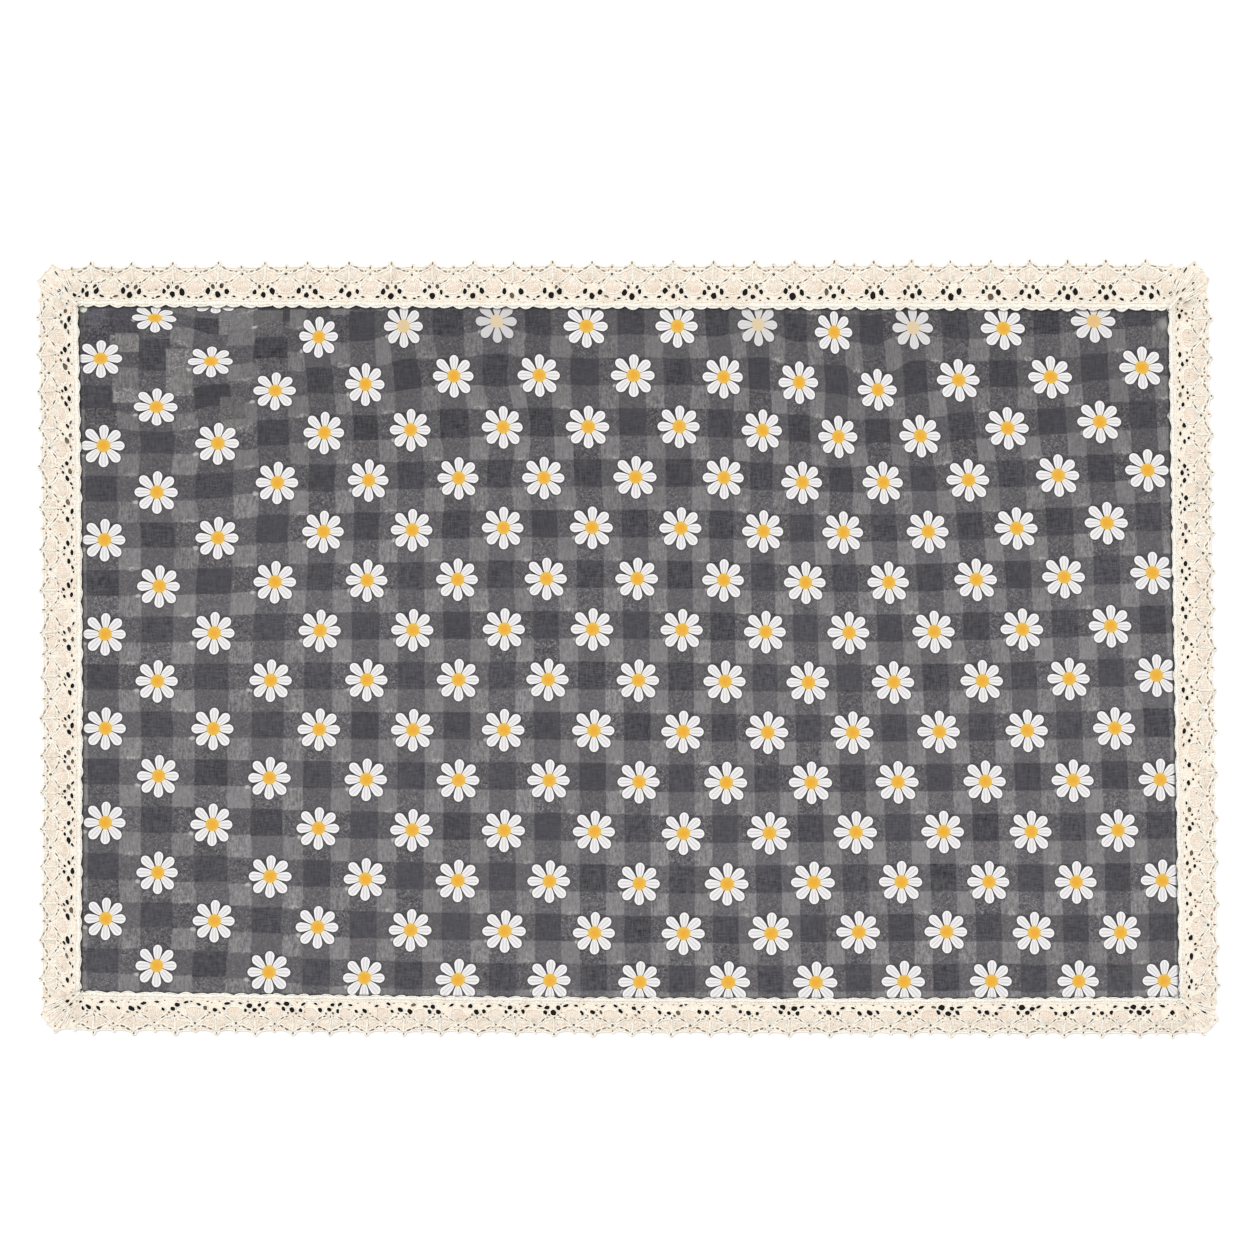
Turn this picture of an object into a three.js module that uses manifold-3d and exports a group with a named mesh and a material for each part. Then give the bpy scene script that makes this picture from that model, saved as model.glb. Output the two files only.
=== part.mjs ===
import * as THREE from "three";
import { mergeVertices } from "three/addons/utils/BufferGeometryUtils.js";
import Module from "manifold-3d";

// A rectangular tablecloth lying flat: one hemmed check panel, with four lengths of lace edging
// sewn over its hem and mitred at the corners. Millimetres, +Z up, +X along the long sides,
// +Y towards the back edge, underside at z = 0, origin under the middle of the outline.

// Cloth
const CLOTH_THICK = 1.0;
const HEM_THICK = 1.6;
const HEM_REACH = 25;
const HEM_START = 1.5;

// Lace edging: heights over the hem and on the table, measured outwards from its foot
const LACE_WIDTH = 52;
const LACE_THICK = 1.4;
const SEWN_CLEARANCE = 0.3;
const RAMP_START = 26;
const RAMP_END = 33;
const RAMP_LEAD = 0.3;
const MITRE_GAP = 0.3;

// Corner points, each as the foot of the lace and the crossing of its two tip lines
const CORNERS = [
  { name: "front left", foot: [-645, -405], tip: [-697.5, -456.5] },
  { name: "front right", foot: [651, -412], tip: [702.5, -460] },
  { name: "back right", foot: [638, 399.5], tip: [691.5, 460.5] },
  { name: "back left", foot: [-648, 404], tip: [-701.5, 456.5] },
];
const CORNER_CUT = 21;
const CORNER_INSET = 2.5;

// Sides, anticlockwise from above. footBow and tipBow draw the middle of the foot and of the tips
// inwards, and drift shifts the repeats along the side where the lace was stretched or eased in as
// it was sewn.
const SIDES = [
  {
    name: "lace_front", repeats: 30, footBow: -4.2, tipBow: 0, phase: 0.4,
    drift: [
      { at: 0, by: 0 }, { at: 0.17, by: 11 }, { at: 0.4, by: 1 }, { at: 0.55, by: 4 },
      { at: 0.8, by: 17 }, { at: 0.93, by: 14 }, { at: 1, by: 0 },
    ],
  },
  {
    name: "lace_right", repeats: 19, footBow: 0, tipBow: 0, phase: 1.9,
    drift: [
      { at: 0, by: 0 }, { at: 0.08, by: -5 }, { at: 0.2, by: 2 }, { at: 0.37, by: 18 },
      { at: 0.5, by: 25 }, { at: 0.63, by: 20 }, { at: 0.74, by: -1 }, { at: 0.94, by: -4 },
      { at: 1, by: 0 },
    ],
  },
  {
    name: "lace_back", repeats: 28, footBow: 0, tipBow: 0, phase: 3.1,
    drift: [
      { at: 0, by: 0 }, { at: 0.04, by: 11 }, { at: 0.2, by: 0 }, { at: 0.32, by: -8 },
      { at: 0.5, by: -11 }, { at: 0.68, by: -17 }, { at: 0.8, by: -13 }, { at: 0.9, by: 0 },
      { at: 1, by: 0 },
    ],
  },
  {
    name: "lace_left", repeats: 19, footBow: 3.5, tipBow: 3.5, phase: 5.2,
    drift: [
      { at: 0, by: 0 }, { at: 0.25, by: -8 }, { at: 0.42, by: 0 }, { at: 0.58, by: 14 },
      { at: 0.8, by: 5 }, { at: 0.9, by: 0 }, { at: 1, by: 0 },
    ],
  },
];

// One repeat of the lace, centred on a main picot. x runs along the side, y out from the foot.
const OUTLINE = [
  { x: -4.6, y: 46.8 }, { x: -1.9, y: 52 }, { x: 1.9, y: 52 }, { x: 4.6, y: 46.8 },
];
const HALF_WAY = [{ x: -4.5, y: 44.8 }, { x: 0, y: 46.8 }, { x: 4.5, y: 44.8 }];
const HOLES = [
  { x: 0.5, y: 12.2, width: 5.9, height: 6.8 },
  { x: -8.6, y: 16.6, width: 5, height: 7 },
  { x: 8.8, y: 16.6, width: 5, height: 7 },
];
const HOLE_SIDES = 5;
const MITRE_Y = 51;

// Holes in the fan of cords at each corner. at counts repeats from the end of the side.
const CORNER_HOLES = [
  { at: 0.38, y: 13.5, width: 4.6, height: 5.6 },
  { at: 0.06, y: 25.5, width: 4.2, height: 4.6 },
];

// Little scallops along the foot
const SCALLOP_PITCH = 16;
const SCALLOP_CROWN = -0.7;
const SCALLOP_CUSP = 1.9;

// Handwork is never quite even
const OUTLINE_UNEVEN = 0.7;
const HOLE_UNEVEN = 0.6;

// The fan at a corner: how softly the cords close up on the foot corner, and how far the
// outline runs on past the last main picot, in repeats
const FAN_SOFTNESS = 9;
const PAST_PICOT = 0.32;

const CREAM = new THREE.Color(0.95, 0.91, 0.83);
const CHARCOAL = new THREE.Color(0.1, 0.1, 0.11);
const CUTTER_BOTTOM = -2;
const CUTTER_TOP = 6;
const SLAB_OVERRUN = 90;

const wasm = await Module();
wasm.setup();

// A repeatable value from -1 to 1 that varies from place to place
function uneven(place) {
  return Math.sin(place * 2.9) * 0.6 + Math.sin(place * 7.3 + 1.7) * 0.4;
}

function vector([x, y]) {
  return new THREE.Vector2(x, y);
}

// Smooth value between the rows of a drift table
function driftAt(rows, at) {
  const next = Math.max(1, rows.findIndex((row) => row.at >= at));
  const from = rows[next - 1];
  const to = rows[next];
  const share = THREE.MathUtils.smoothstep(at, from.at, to.at);
  return THREE.MathUtils.lerp(from.by, to.by, share);
}

// Everything that follows from a side's two corners
function layOut(side, index) {
  const start = CORNERS[index];
  const end = CORNERS[(index + 1) % CORNERS.length];
  const foot = vector(start.foot);
  const along = vector(end.foot).sub(foot);
  const tip = vector(start.tip);
  const tipAlong = vector(end.tip).sub(tip);
  const plan = { ...side, foot, tip, footLength: along.length(), tipLength: tipAlong.length() };
  plan.along = along.normalize();
  plan.out = new THREE.Vector2(plan.along.y, -plan.along.x);
  plan.tipAlong = tipAlong.normalize();
  return plan;
}

// How far out a line lies that is bowed inwards at its middle
function bowed(bow, share) {
  return -4 * bow * share * (1 - share);
}

// A point of the foot line, moved out by y
function footPoint(plan, distance, y) {
  const point = plan.foot.clone().addScaledVector(plan.along, distance);
  return point.addScaledVector(plan.out, y + bowed(plan.footBow, distance / plan.footLength));
}

// The tip of the main picot at repeat s, from 0 to the side's number of repeats
function picotPoint(plan, s) {
  const share = s / plan.repeats;
  const straight = CORNER_CUT + (plan.tipLength - 2 * CORNER_CUT) * share;
  const distance = straight + driftAt(plan.drift, share);
  const inset = CORNER_INSET * (Math.max(0, 1 - s) + Math.max(0, 1 - (plan.repeats - s)));
  const point = plan.tip.clone().addScaledVector(plan.tipAlong, distance);
  return point.addScaledVector(plan.out, bowed(plan.tipBow, share) - inset);
}

// The tip line at repeat s, which turns into the cut corner past the first and last picot
function tipPoint(plan, s) {
  const inside = THREE.MathUtils.clamp(s, 0, plan.repeats);
  const point = picotPoint(plan, inside);
  const past = Math.abs(s - inside) / PAST_PICOT;
  return point.lerp(s < inside ? plan.startMitre : plan.endMitre, past);
}

function softClamp(distance) {
  return (distance + Math.hypot(distance, FAN_SOFTNESS)) / 2;
}

// A point of the lace at repeat s and y millimetres out from its foot
function lacePoint(plan, s, y) {
  const outer = tipPoint(plan, s);
  const reach = outer.clone().sub(plan.foot).dot(plan.along);
  const fromStart = softClamp(reach);
  const distance = plan.footLength - softClamp(plan.footLength - fromStart);
  return footPoint(plan, distance, 0).lerp(outer, y / LACE_WIDTH);
}

// The middle of each cut corner, where two lengths of lace meet
function addMitres(plans) {
  plans.forEach((plan, index) => {
    const before = plans[(index + plans.length - 1) % plans.length];
    const middle = picotPoint(plan, 0).add(picotPoint(before, before.repeats)).multiplyScalar(0.5);
    plan.startMitre = middle.clone().addScaledVector(plan.along, MITRE_GAP / 2 / Math.SQRT1_2);
    before.endMitre = middle.clone().addScaledVector(before.along, -MITRE_GAP / 2 / Math.SQRT1_2);
  });
}

function repeatPoints(plan, middle, rows) {
  return rows.map(({ x, y }) => {
    const s = middle + x / plan.pitch;
    return lacePoint(plan, s, y + OUTLINE_UNEVEN * uneven(s + plan.phase));
  });
}

// The outer outline. The first and last main picots run straight into the cut corner.
function tipOutline(plan) {
  const points = [lacePoint(plan, -PAST_PICOT, MITRE_Y)];
  for (let i = 0; i <= plan.repeats; i += 1) {
    const rows = OUTLINE.slice(i === 0 ? 1 : 0, i === plan.repeats ? -1 : OUTLINE.length);
    points.push(...repeatPoints(plan, i, rows));
    if (i < plan.repeats) {
      points.push(...repeatPoints(plan, i + 0.5, HALF_WAY));
    }
  }
  points.push(lacePoint(plan, plan.repeats + PAST_PICOT, MITRE_Y));
  return points;
}

function footOutline(plan) {
  const steps = 2 * Math.round(plan.footLength / SCALLOP_PITCH);
  const points = [lacePoint(plan, plan.repeats + PAST_PICOT, 0)];
  for (let i = steps - 1; i > 0; i -= 1) {
    const distance = (plan.footLength * i) / steps;
    const depth = i % 2 ? SCALLOP_CROWN : SCALLOP_CUSP;
    points.push(footPoint(plan, distance, depth * (1 + 0.4 * uneven(i * 0.9 + plan.phase))));
  }
  points.push(lacePoint(plan, -PAST_PICOT, 0));
  return points;
}

// A small many-sided hole round a point of the lace, its height along the cords
function holePath(plan, s, y, width, height) {
  const centre = lacePoint(plan, s, y);
  const up = lacePoint(plan, s, y + 1).sub(centre).normalize();
  const across = new THREE.Vector2(-up.y, up.x);
  const points = [];
  for (let i = 0; i < HOLE_SIDES; i += 1) {
    const turn = (2 * Math.PI * i) / HOLE_SIDES;
    const point = centre.clone().addScaledVector(up, (height / 2) * Math.cos(turn));
    points.push(point.addScaledVector(across, (width / 2) * Math.sin(turn)));
  }
  return new THREE.Path(points);
}

function holePaths(plan) {
  const paths = [];
  for (let i = 1; i < plan.repeats; i += 1) {
    HOLES.forEach(({ x, y, width, height }, j) => {
      const shift = HOLE_UNEVEN * uneven(i * 1.7 + j * 4.1 + plan.phase);
      const s = i + (x + shift) / plan.pitch;
      paths.push(holePath(plan, s, y + shift, width + shift, height - shift));
    });
  }
  CORNER_HOLES.forEach(({ at, y, width, height }) => {
    paths.push(holePath(plan, at, y, width, height));
    paths.push(holePath(plan, plan.repeats - at, y, width, height));
  });
  return paths;
}

// Closed three.js geometry to a solid, and back
function toSolid(geometry) {
  geometry.deleteAttribute("normal");
  geometry.deleteAttribute("uv");
  const merged = mergeVertices(geometry, 1e-4);
  const vertProperties = new Float32Array(merged.attributes.position.array);
  const triVerts = new Uint32Array(merged.index.array);
  return new wasm.Manifold(new wasm.Mesh({ numProp: 3, vertProperties, triVerts }));
}

function toGeometry(solid) {
  const { vertProperties, triVerts } = solid.getMesh();
  const geometry = new THREE.BufferGeometry();
  geometry.setAttribute("position", new THREE.BufferAttribute(vertProperties, 3));
  geometry.setIndex(new THREE.BufferAttribute(triVerts, 1));
  geometry.computeVertexNormals();
  return geometry;
}

// A flat shape made into an upright block between two heights
function block(shape, bottom, top) {
  const geometry = new THREE.ExtrudeGeometry(shape, { depth: top - bottom, bevelEnabled: false });
  return toSolid(geometry.translate(0, 0, bottom));
}

// The sheet that a length of lace is cut from: over the hem, down its edge, then on the table
function laceSheet(plan) {
  const over = HEM_THICK + SEWN_CLEARANCE;
  const far = LACE_WIDTH * 2;
  const profile = new THREE.Shape([
    new THREE.Vector2(-LACE_WIDTH, over),
    new THREE.Vector2(RAMP_START, over),
    new THREE.Vector2(RAMP_END, 0),
    new THREE.Vector2(far, 0),
    new THREE.Vector2(far, LACE_THICK),
    new THREE.Vector2(RAMP_END + RAMP_LEAD, LACE_THICK),
    new THREE.Vector2(RAMP_START + RAMP_LEAD, over + LACE_THICK),
    new THREE.Vector2(-LACE_WIDTH, over + LACE_THICK),
  ]);
  const length = plan.footLength + 2 * SLAB_OVERRUN;
  const geometry = new THREE.ExtrudeGeometry(profile, { depth: length, bevelEnabled: false });
  const out = new THREE.Vector3(plan.out.x, plan.out.y, 0);
  const back = new THREE.Vector3(-plan.along.x, -plan.along.y, 0);
  const farEnd = plan.foot.clone().addScaledVector(plan.along, plan.footLength + SLAB_OVERRUN);
  const turned = new THREE.Matrix4().makeBasis(out, new THREE.Vector3(0, 0, 1), back);
  turned.setPosition(farEnd.x, farEnd.y, 0);
  return toSolid(geometry.applyMatrix4(turned));
}

function laceGeometry(plan) {
  const shape = new THREE.Shape([...tipOutline(plan), ...footOutline(plan)]);
  shape.holes = holePaths(plan);
  return toGeometry(block(shape, CUTTER_BOTTOM, CUTTER_TOP).intersect(laceSheet(plan)));
}

// The panel's outline, a given distance outside the foot of the lace
function panelShape(plans, distance) {
  const points = plans.map((plan, index) => {
    const before = plans[(index + plans.length - 1) % plans.length];
    const outwards = plan.out.clone().add(before.out);
    const share = distance / (1 + plan.out.dot(before.out));
    return plan.foot.clone().addScaledVector(outwards, share);
  });
  return new THREE.Shape(points);
}

function panelGeometry(plans) {
  const whole = block(panelShape(plans, HEM_REACH), 0, HEM_THICK);
  const inside = block(panelShape(plans, HEM_START), CLOTH_THICK, CUTTER_TOP);
  return toGeometry(whole.subtract(inside));
}

function piece(name, geometry, color) {
  const material = new THREE.MeshStandardMaterial({ color, roughness: 0.92, metalness: 0 });
  const mesh = new THREE.Mesh(geometry, material);
  mesh.name = name;
  return mesh;
}

const plans = SIDES.map(layOut);
plans.forEach((plan) => {
  plan.pitch = (plan.tipLength - 2 * CORNER_CUT) / plan.repeats;
});
addMitres(plans);

const tablecloth = new THREE.Group();
tablecloth.add(piece("panel", panelGeometry(plans), CHARCOAL));
plans.forEach((plan) => {
  tablecloth.add(piece(plan.name, laceGeometry(plan), CREAM));
});

// The origin goes under the middle of the whole outline
const middle = new THREE.Box3().setFromObject(tablecloth).getCenter(new THREE.Vector3());
tablecloth.position.set(-middle.x, -middle.y, 0);

export default tablecloth;
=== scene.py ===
import math

import bpy
import numpy as np
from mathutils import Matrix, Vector
from mathutils.geometry import delaunay_2d_cdt


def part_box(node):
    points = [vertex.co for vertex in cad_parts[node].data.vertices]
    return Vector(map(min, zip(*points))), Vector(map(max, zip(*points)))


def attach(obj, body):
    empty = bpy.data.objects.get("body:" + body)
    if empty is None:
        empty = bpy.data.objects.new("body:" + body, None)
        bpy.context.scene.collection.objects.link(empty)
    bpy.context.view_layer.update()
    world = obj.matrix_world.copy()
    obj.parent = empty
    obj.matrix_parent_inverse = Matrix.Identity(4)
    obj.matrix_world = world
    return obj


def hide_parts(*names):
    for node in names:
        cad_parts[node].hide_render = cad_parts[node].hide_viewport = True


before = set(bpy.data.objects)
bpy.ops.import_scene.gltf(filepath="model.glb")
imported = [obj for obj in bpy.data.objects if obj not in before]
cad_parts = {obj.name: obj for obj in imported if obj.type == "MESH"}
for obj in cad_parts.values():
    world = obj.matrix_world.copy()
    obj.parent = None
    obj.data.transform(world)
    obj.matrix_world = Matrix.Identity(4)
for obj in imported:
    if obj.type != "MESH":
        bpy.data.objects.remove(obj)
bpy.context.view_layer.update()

# Tablecloth lying flat: a check panel printed with daisies, under a wide lace edging.
# Sizes are in millimetres and turned into metres as each mesh is made.
MM = 0.001


def table(columns, *rows):
    """A short table, each row a dictionary of its values under the columns' names. The last
    columns of a row may be left out."""
    return [dict(zip(columns.split(), row)) for row in rows]


# Panel, as the solids have it
CLOTH_THICK = 1.0
HEM_THICK = 1.6
HEM_REACH = 25.0
HEM_START = 1.5

# Lace, laid out as the solids are, and running down from the hem a little more softly
LACE_WIDTH = 52.0
OVER_HEM = 1.9
RAMP_START = 25.8
RAMP_END = 34.0
NOMINAL_PITCH = 47.0
CORNER_CUT = 21.0
CORNER_INSET = 2.5
FAN_SOFTNESS = 9.0
PAST_PICOT = 0.32

CORNERS = table(
    "corner foot tip",
    ("front left", (-645, -405), (-697.5, -456.5)),
    ("front right", (651, -412), (702.5, -460)),
    ("back right", (638, 399.5), (691.5, 460.5)),
    ("back left", (-648, 404), (-701.5, 456.5)))

# Each side's repeats, how far its foot and tip lines bow inwards at the middle, where its small
# waves start, and how far the repeats drift along it at some shares of its length
SIDES = table(
    "name repeats foot_bow tip_bow phase at drift",
    ("lace_front", 30, -4.2, 0, 0.4,
     (0, 0.17, 0.4, 0.55, 0.8, 0.93, 1),
     (0, 11, 1, 4, 17, 14, 0)),
    ("lace_right", 19, 0, 0, 1.9,
     (0, 0.08, 0.2, 0.37, 0.5, 0.63, 0.74, 0.94, 1),
     (0, -5, 2, 18, 25, 20, -1, -4, 0)),
    ("lace_back", 28, 0, 0, 3.1,
     (0, 0.04, 0.2, 0.32, 0.5, 0.68, 0.8, 0.9, 1),
     (0, 11, 0, -8, -11, -17, -13, 0, 0)),
    ("lace_left", 19, 3.5, 3.5, 5.2,
     (0, 0.25, 0.42, 0.58, 0.8, 0.9, 1),
     (0, -8, 0, 14, 5, 0, 0)))

# How each side is worked, in the same order: the pattern of its larger gaps, how far they are drawn
# open, the shares of them that are filled or left out, their scatter, small extra gaps a repeat,
# how far the inner pattern is pushed along, how much the foot's scallops are levelled and how far
# they are moved in over the panel, the kind of the gaps over the fans, the fans' half width, and
# how far the picots stand out
STYLES = table(
    "holes open filled left_out scatter dots inner level lift arc fan picot",
    ("spread", 1.3, 0.12, 0.05, 1.3, 8, -3, 0.3, 0.8, "brown", 9.6, 0.9),
    ("lengthwise", 0.95, 0.25, 0.08, 1.1, 4, 0, 0.6, 0, "tan", 10.2, 0.6),
    ("upright", 1.14, 0.06, 0, 0.8, 2, 0, 0, 0, "tan", 10.2, 1),
    ("lengthwise", 1.05, 0.25, 0.05, 0.8, 4, 6, 0.5, 0, "tan", 10.2, 0.6))

# Sides of a round cord, and the heights of the lace's layers above what it lies on
CORD_SIDES = 5
WEB_BOTTOM = 0.1
WEB_TOP = 0.72
PIT_FLOOR = 0.28

# The print, as a grid of dark bands. Each row places one column of the grid: across at its
# middle row, its lean and curve down the cloth, the pitch of its rows, and how far its top rows
# crowd together.
PRINT_GRID = table(
    "column across lean curve pitch middle crowd",
    (0, -616, 1, -2, 55.6, -38.5, 1.7),
    (2, -488, -3, -1, 56.5, -38, 4.2),
    (3, -421, -4.5, 1, 57.5, -37.5, 3.2),
    (4, -363, -3, 0, 58.3, -37, 0.3),
    (6, -253, 0, -4, 59, -37, 0),
    (9, -93.5, 5, -4, 59.5, -36.5, 0),
    (12, 65, 3, -2, 60, -38, 0),
    (15, 213.5, 10, -1, 59, -40, 0),
    (18, 365, 18, -5, 59, -39, 0),
    (21, 521, 16, -5, 60, -35.5, 0),
    (23, 624, 13, -4, 60.5, -31.5, 0))
MIDDLE_ROW = 8
HALF_ROWS = 6.0
CROWDED_ROWS = 3

# Daisies that were printed off their place in the grid, and by how much. The move is whole near
# the daisy and gone a cell away.
NUDGES = table(
    "column row by",
    (1, 0, (-3, 14)),
    (0, 1, (-1.5, -2)),
    (2, 1, (-5, -2)),
    (4, 1, (-5, -1)),
    (6, 1, (-6, 4.5)),
    (8, 1, (3, 7)),
    (10, 1, (1.5, -1)),
    (12, 1, (0, -1.7)),
    (14, 1, (0, 6.5)),
    (16, 1, (-2, 1)),
    (18, 1, (0, 4.5)),
    (20, 1, (1.5, -3)),
    (22, 1, (0.5, -2)),
    (1, 2, (-2.5, -10)),
    (5, 2, (-1.5, -4)),
    (7, 2, (1, 3)),
    (9, 2, (-1.5, 2)),
    (13, 2, (4.5, 1)),
    (17, 2, (0.5, -8.5)),
    (19, 2, (-2.5, -0.5)),
    (21, 2, (-1, -4)),
    (2, 3, (3, -2.5)),
    (4, 3, (3, 0)),
    (8, 3, (6, 1)),
    (14, 3, (2, 0.5)),
    (16, 3, (-3, -4.5)),
    (18, 3, (-1.5, -5)),
    (20, 3, (-2.5, -1)),
    (1, 4, (-2.5, -1)),
    (3, 4, (4.5, 3)),
    (5, 4, (2, 0.5)),
    (7, 4, (3.5, 1)),
    (13, 4, (2.5, 1.5)),
    (2, 5, (3.5, -1)),
    (4, 5, (3, 0)),
    (8, 5, (3, 1)),
    (10, 5, (1.5, 0.5)),
    (16, 5, (-2, 0.5)),
    (22, 5, (1.5, 1)),
    (3, 6, (3.5, 1)),
    (19, 6, (1.5, 1)),
    (8, 7, (2, 0)),
    (1, 8, (-2, 0)),
    (19, 8, (2, 0)),
    (23, 10, (0.5, -2)),
    (1, 12, (0, -2)),
    (3, 12, (2, -1)),
    (0, 13, (1, -2)),
    (2, 13, (4, -0.5)),
    (8, 13, (1.5, 0)),
    (12, 13, (0, 2)),
    (3, 14, (1.5, 1)),
    (5, 14, (0.5, 1)),
    (7, 14, (2, 1.5)),
    (9, 14, (1, 2)),
    (10, 14.4, (1, 3)),
    (11, 14, (1, 3.7)),
    (12, 14.4, (0.5, 3.7)),
    (13, 14, (0.5, 3.6)),
    (19, 14, (0, 1.5)),
    (21, 14, (0.5, 3)),
    (22, 14.4, (0, 2.5)),
    (23, 14, (0, 2.5)))
NUDGE_WHOLE, NUDGE_REACH = 0.5, 1.0

# Camera: the photograph is taken from straight above, a little behind the cloth's middle
PHOTO_PIXELS = 1254
PIXEL = 1.18
FRAME_WIDTH = PHOTO_PIXELS * PIXEL
CAMERA_LENS = 85.0
CAMERA_SENSOR = 36.0
CAMERA_AT = (-0.5, 31.3)


def eased(share):
    """A share from 0 to 1 that starts and ends slowly."""
    return share * share * (3 - 2 * share)


def smooth_between(at, places, values):
    """Values that ease from one row of a short table to the next."""
    places = np.asarray(places, float)
    values = np.asarray(values, float)
    row = np.clip(np.searchsorted(places, at, side="right") - 1, 0, len(places) - 2)
    share = np.clip((at - places[row]) / (places[row + 1] - places[row]), 0, 1)
    return values[row] + (values[row + 1] - values[row]) * eased(share)


# Lace layout

def lay_out(row, style, start, end):
    """One side with its style, and where its foot line and its tip line start and run."""
    side = {**row, "style": style}
    for line in ("foot", "tip"):
        side[line] = np.array(start[line], float)
        run = np.array(end[line], float) - side[line]
        side[line + "_length"] = np.linalg.norm(run)
        side[line + "_along"] = run / np.linalg.norm(run)
    side["out"] = np.array([side["foot_along"][1], -side["foot_along"][0]])
    return side


def bowed(bow, share):
    """How far out a line lies that is bowed inwards at its middle."""
    return -4 * bow * share * (1 - share)


def foot_point(side, distance, y):
    """A place y out from the foot line, at a distance along it."""
    distance = np.asarray(distance, float)
    out = y + bowed(side["foot_bow"], distance / side["foot_length"])
    return side["foot"] + distance[..., None] * side["foot_along"] + out[..., None] * side["out"]


def picot_point(side, s):
    """Where the picot of repeat s has its tip, or a place between two picots."""
    s = np.asarray(s, float)
    share = s / side["repeats"]
    distance = CORNER_CUT + (side["tip_length"] - 2 * CORNER_CUT) * share
    distance = distance + smooth_between(share, side["at"], side["drift"])
    ends = np.maximum(0, 1 - s) + np.maximum(0, 1 - (side["repeats"] - s))
    out = bowed(side["tip_bow"], share) - CORNER_INSET * ends
    return side["tip"] + distance[..., None] * side["tip_along"] + out[..., None] * side["out"]


def tip_point(side, s):
    """The picots' line, run on to the mitre past the first and the last picot."""
    inside = np.clip(s, 0, side["repeats"])
    past = np.clip(np.abs(s - inside) / PAST_PICOT, 0, 1)[..., None]
    target = np.where((s < inside)[..., None], side["start_mitre"], side["end_mitre"])
    point = picot_point(side, inside)
    return point + (target - point) * past


def soft_clamp(distance):
    """A distance that eases to nothing where it would turn negative."""
    return (distance + np.hypot(distance, FAN_SOFTNESS)) / 2


def foot_distance(side, outer):
    """How far along the foot line a point of the tip line has its foot. The lace is drawn
    together there before each corner."""
    reach = (outer - side["foot"]) @ side["foot_along"]
    return side["foot_length"] - soft_clamp(side["foot_length"] - soft_clamp(reach))


def lace_point(side, s, y):
    """Where repeat s of the lace lies, y out from its foot."""
    outer = tip_point(side, s)
    distance = foot_distance(side, outer)
    inner = foot_point(side, distance, np.zeros_like(distance))
    return inner + (outer - inner) * (y / LACE_WIDTH)[..., None]


def lay_out_sides():
    """All four sides, with the points where their tip lines meet."""
    ends = CORNERS[1:] + CORNERS[:1]
    sides = [lay_out(*each) for each in zip(SIDES, STYLES, CORNERS, ends)]
    for i, side in enumerate(sides):
        before = sides[i - 1]
        middle = (picot_point(side, 0.0) + picot_point(before, before["repeats"])) / 2
        side["start_mitre"] = middle
        before["end_mitre"] = middle
    return sides


def panel_corners(sides, distance):
    """Corners of the foot line moved out by a distance, front left first."""
    corners = []
    for i, side in enumerate(sides):
        outwards = side["out"] + sides[i - 1]["out"]
        share = distance / (1 + side["out"] @ sides[i - 1]["out"])
        corners.append(side["foot"] + outwards * share)
    return np.array(corners)


def frame_shift(sides):
    """From the layout's own place to the frame, whose origin is under the middle."""
    low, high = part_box("panel")
    corners = panel_corners(sides, HEM_REACH)
    middle = (corners.min(0) + corners.max(0)) / 2
    return np.array([(low.x + high.x) / 2, (low.y + high.y) / 2]) / MM - middle


# Mesh making

FOOT_TONE = 1.3
CORD_TONE = 1.0
RIB_TONE = 0.75
WEB_TONE = 0.0
PIT_SHADE_TONES = {"brown": -1.0, "black": -1.4, "pale": -0.6, "dim": -1.2, "tan": -0.8}


class Weave:
    """Gathers the yarns and cloth work of one length of lace. Points are kept as the repeat they
    lie in, how far out from the foot, and their height, until the whole length is laid."""

    def __init__(self):
        self.points = []
        self.coords = []
        self.faces = []
        self.hard = []
        self.count = 0
        self.middle = 0.0
        self.flip = 1

    def start(self, middle, flip=1):
        """Says where the next repeat's own middle lies, and whether it is mirrored."""
        self.middle = middle
        self.flip = flip

    def add(self, points, smooth, coords, hard=()):
        points = np.array(points, float)
        points[:, 0] = self.middle + self.flip * points[:, 0] / NOMINAL_PITCH
        for groups, is_hard in ((smooth, False), (hard, True)):
            for group in groups:
                group = group + self.count
                self.faces.extend((group[:, ::-1] if self.flip > 0 else group).tolist())
                self.hard.append(np.full(len(group), is_hard))
        self.points.append(points)
        self.coords.append(coords)
        self.count += len(points)

    def cord(self, path, radius, tone=CORD_TONE, sides=CORD_SIDES, **shape):
        self.add(*tube(path, radius, tone, sides, **shape))

    def cords(self, path, *shape):
        """The same cord on both sides of the repeat's middle."""
        self.cord(path, *shape)
        self.cord(path * (-1, 1, 1), *shape)


def spline(points, steps):
    """A smooth run through a few points."""
    points = np.asarray(points, float)
    padded = np.concatenate([[2 * points[0] - points[1]], points, [2 * points[-1] - points[-2]]])
    at = np.linspace(0, len(points) - 1, steps + 1)
    piece = np.minimum(at.astype(int), len(points) - 2)
    t = (at - piece)[:, None]
    a, b, c, d = (padded[piece + k] for k in range(4))
    return 0.5 * (2 * b + (c - a) * t + (2 * a - 5 * b + 4 * c - d) * t ** 2
                  + (3 * b - a - 3 * c + d) * t ** 3)


def raised(path, z):
    """A flat path with a height."""
    return np.column_stack([path, np.full(len(path), z)])


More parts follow.
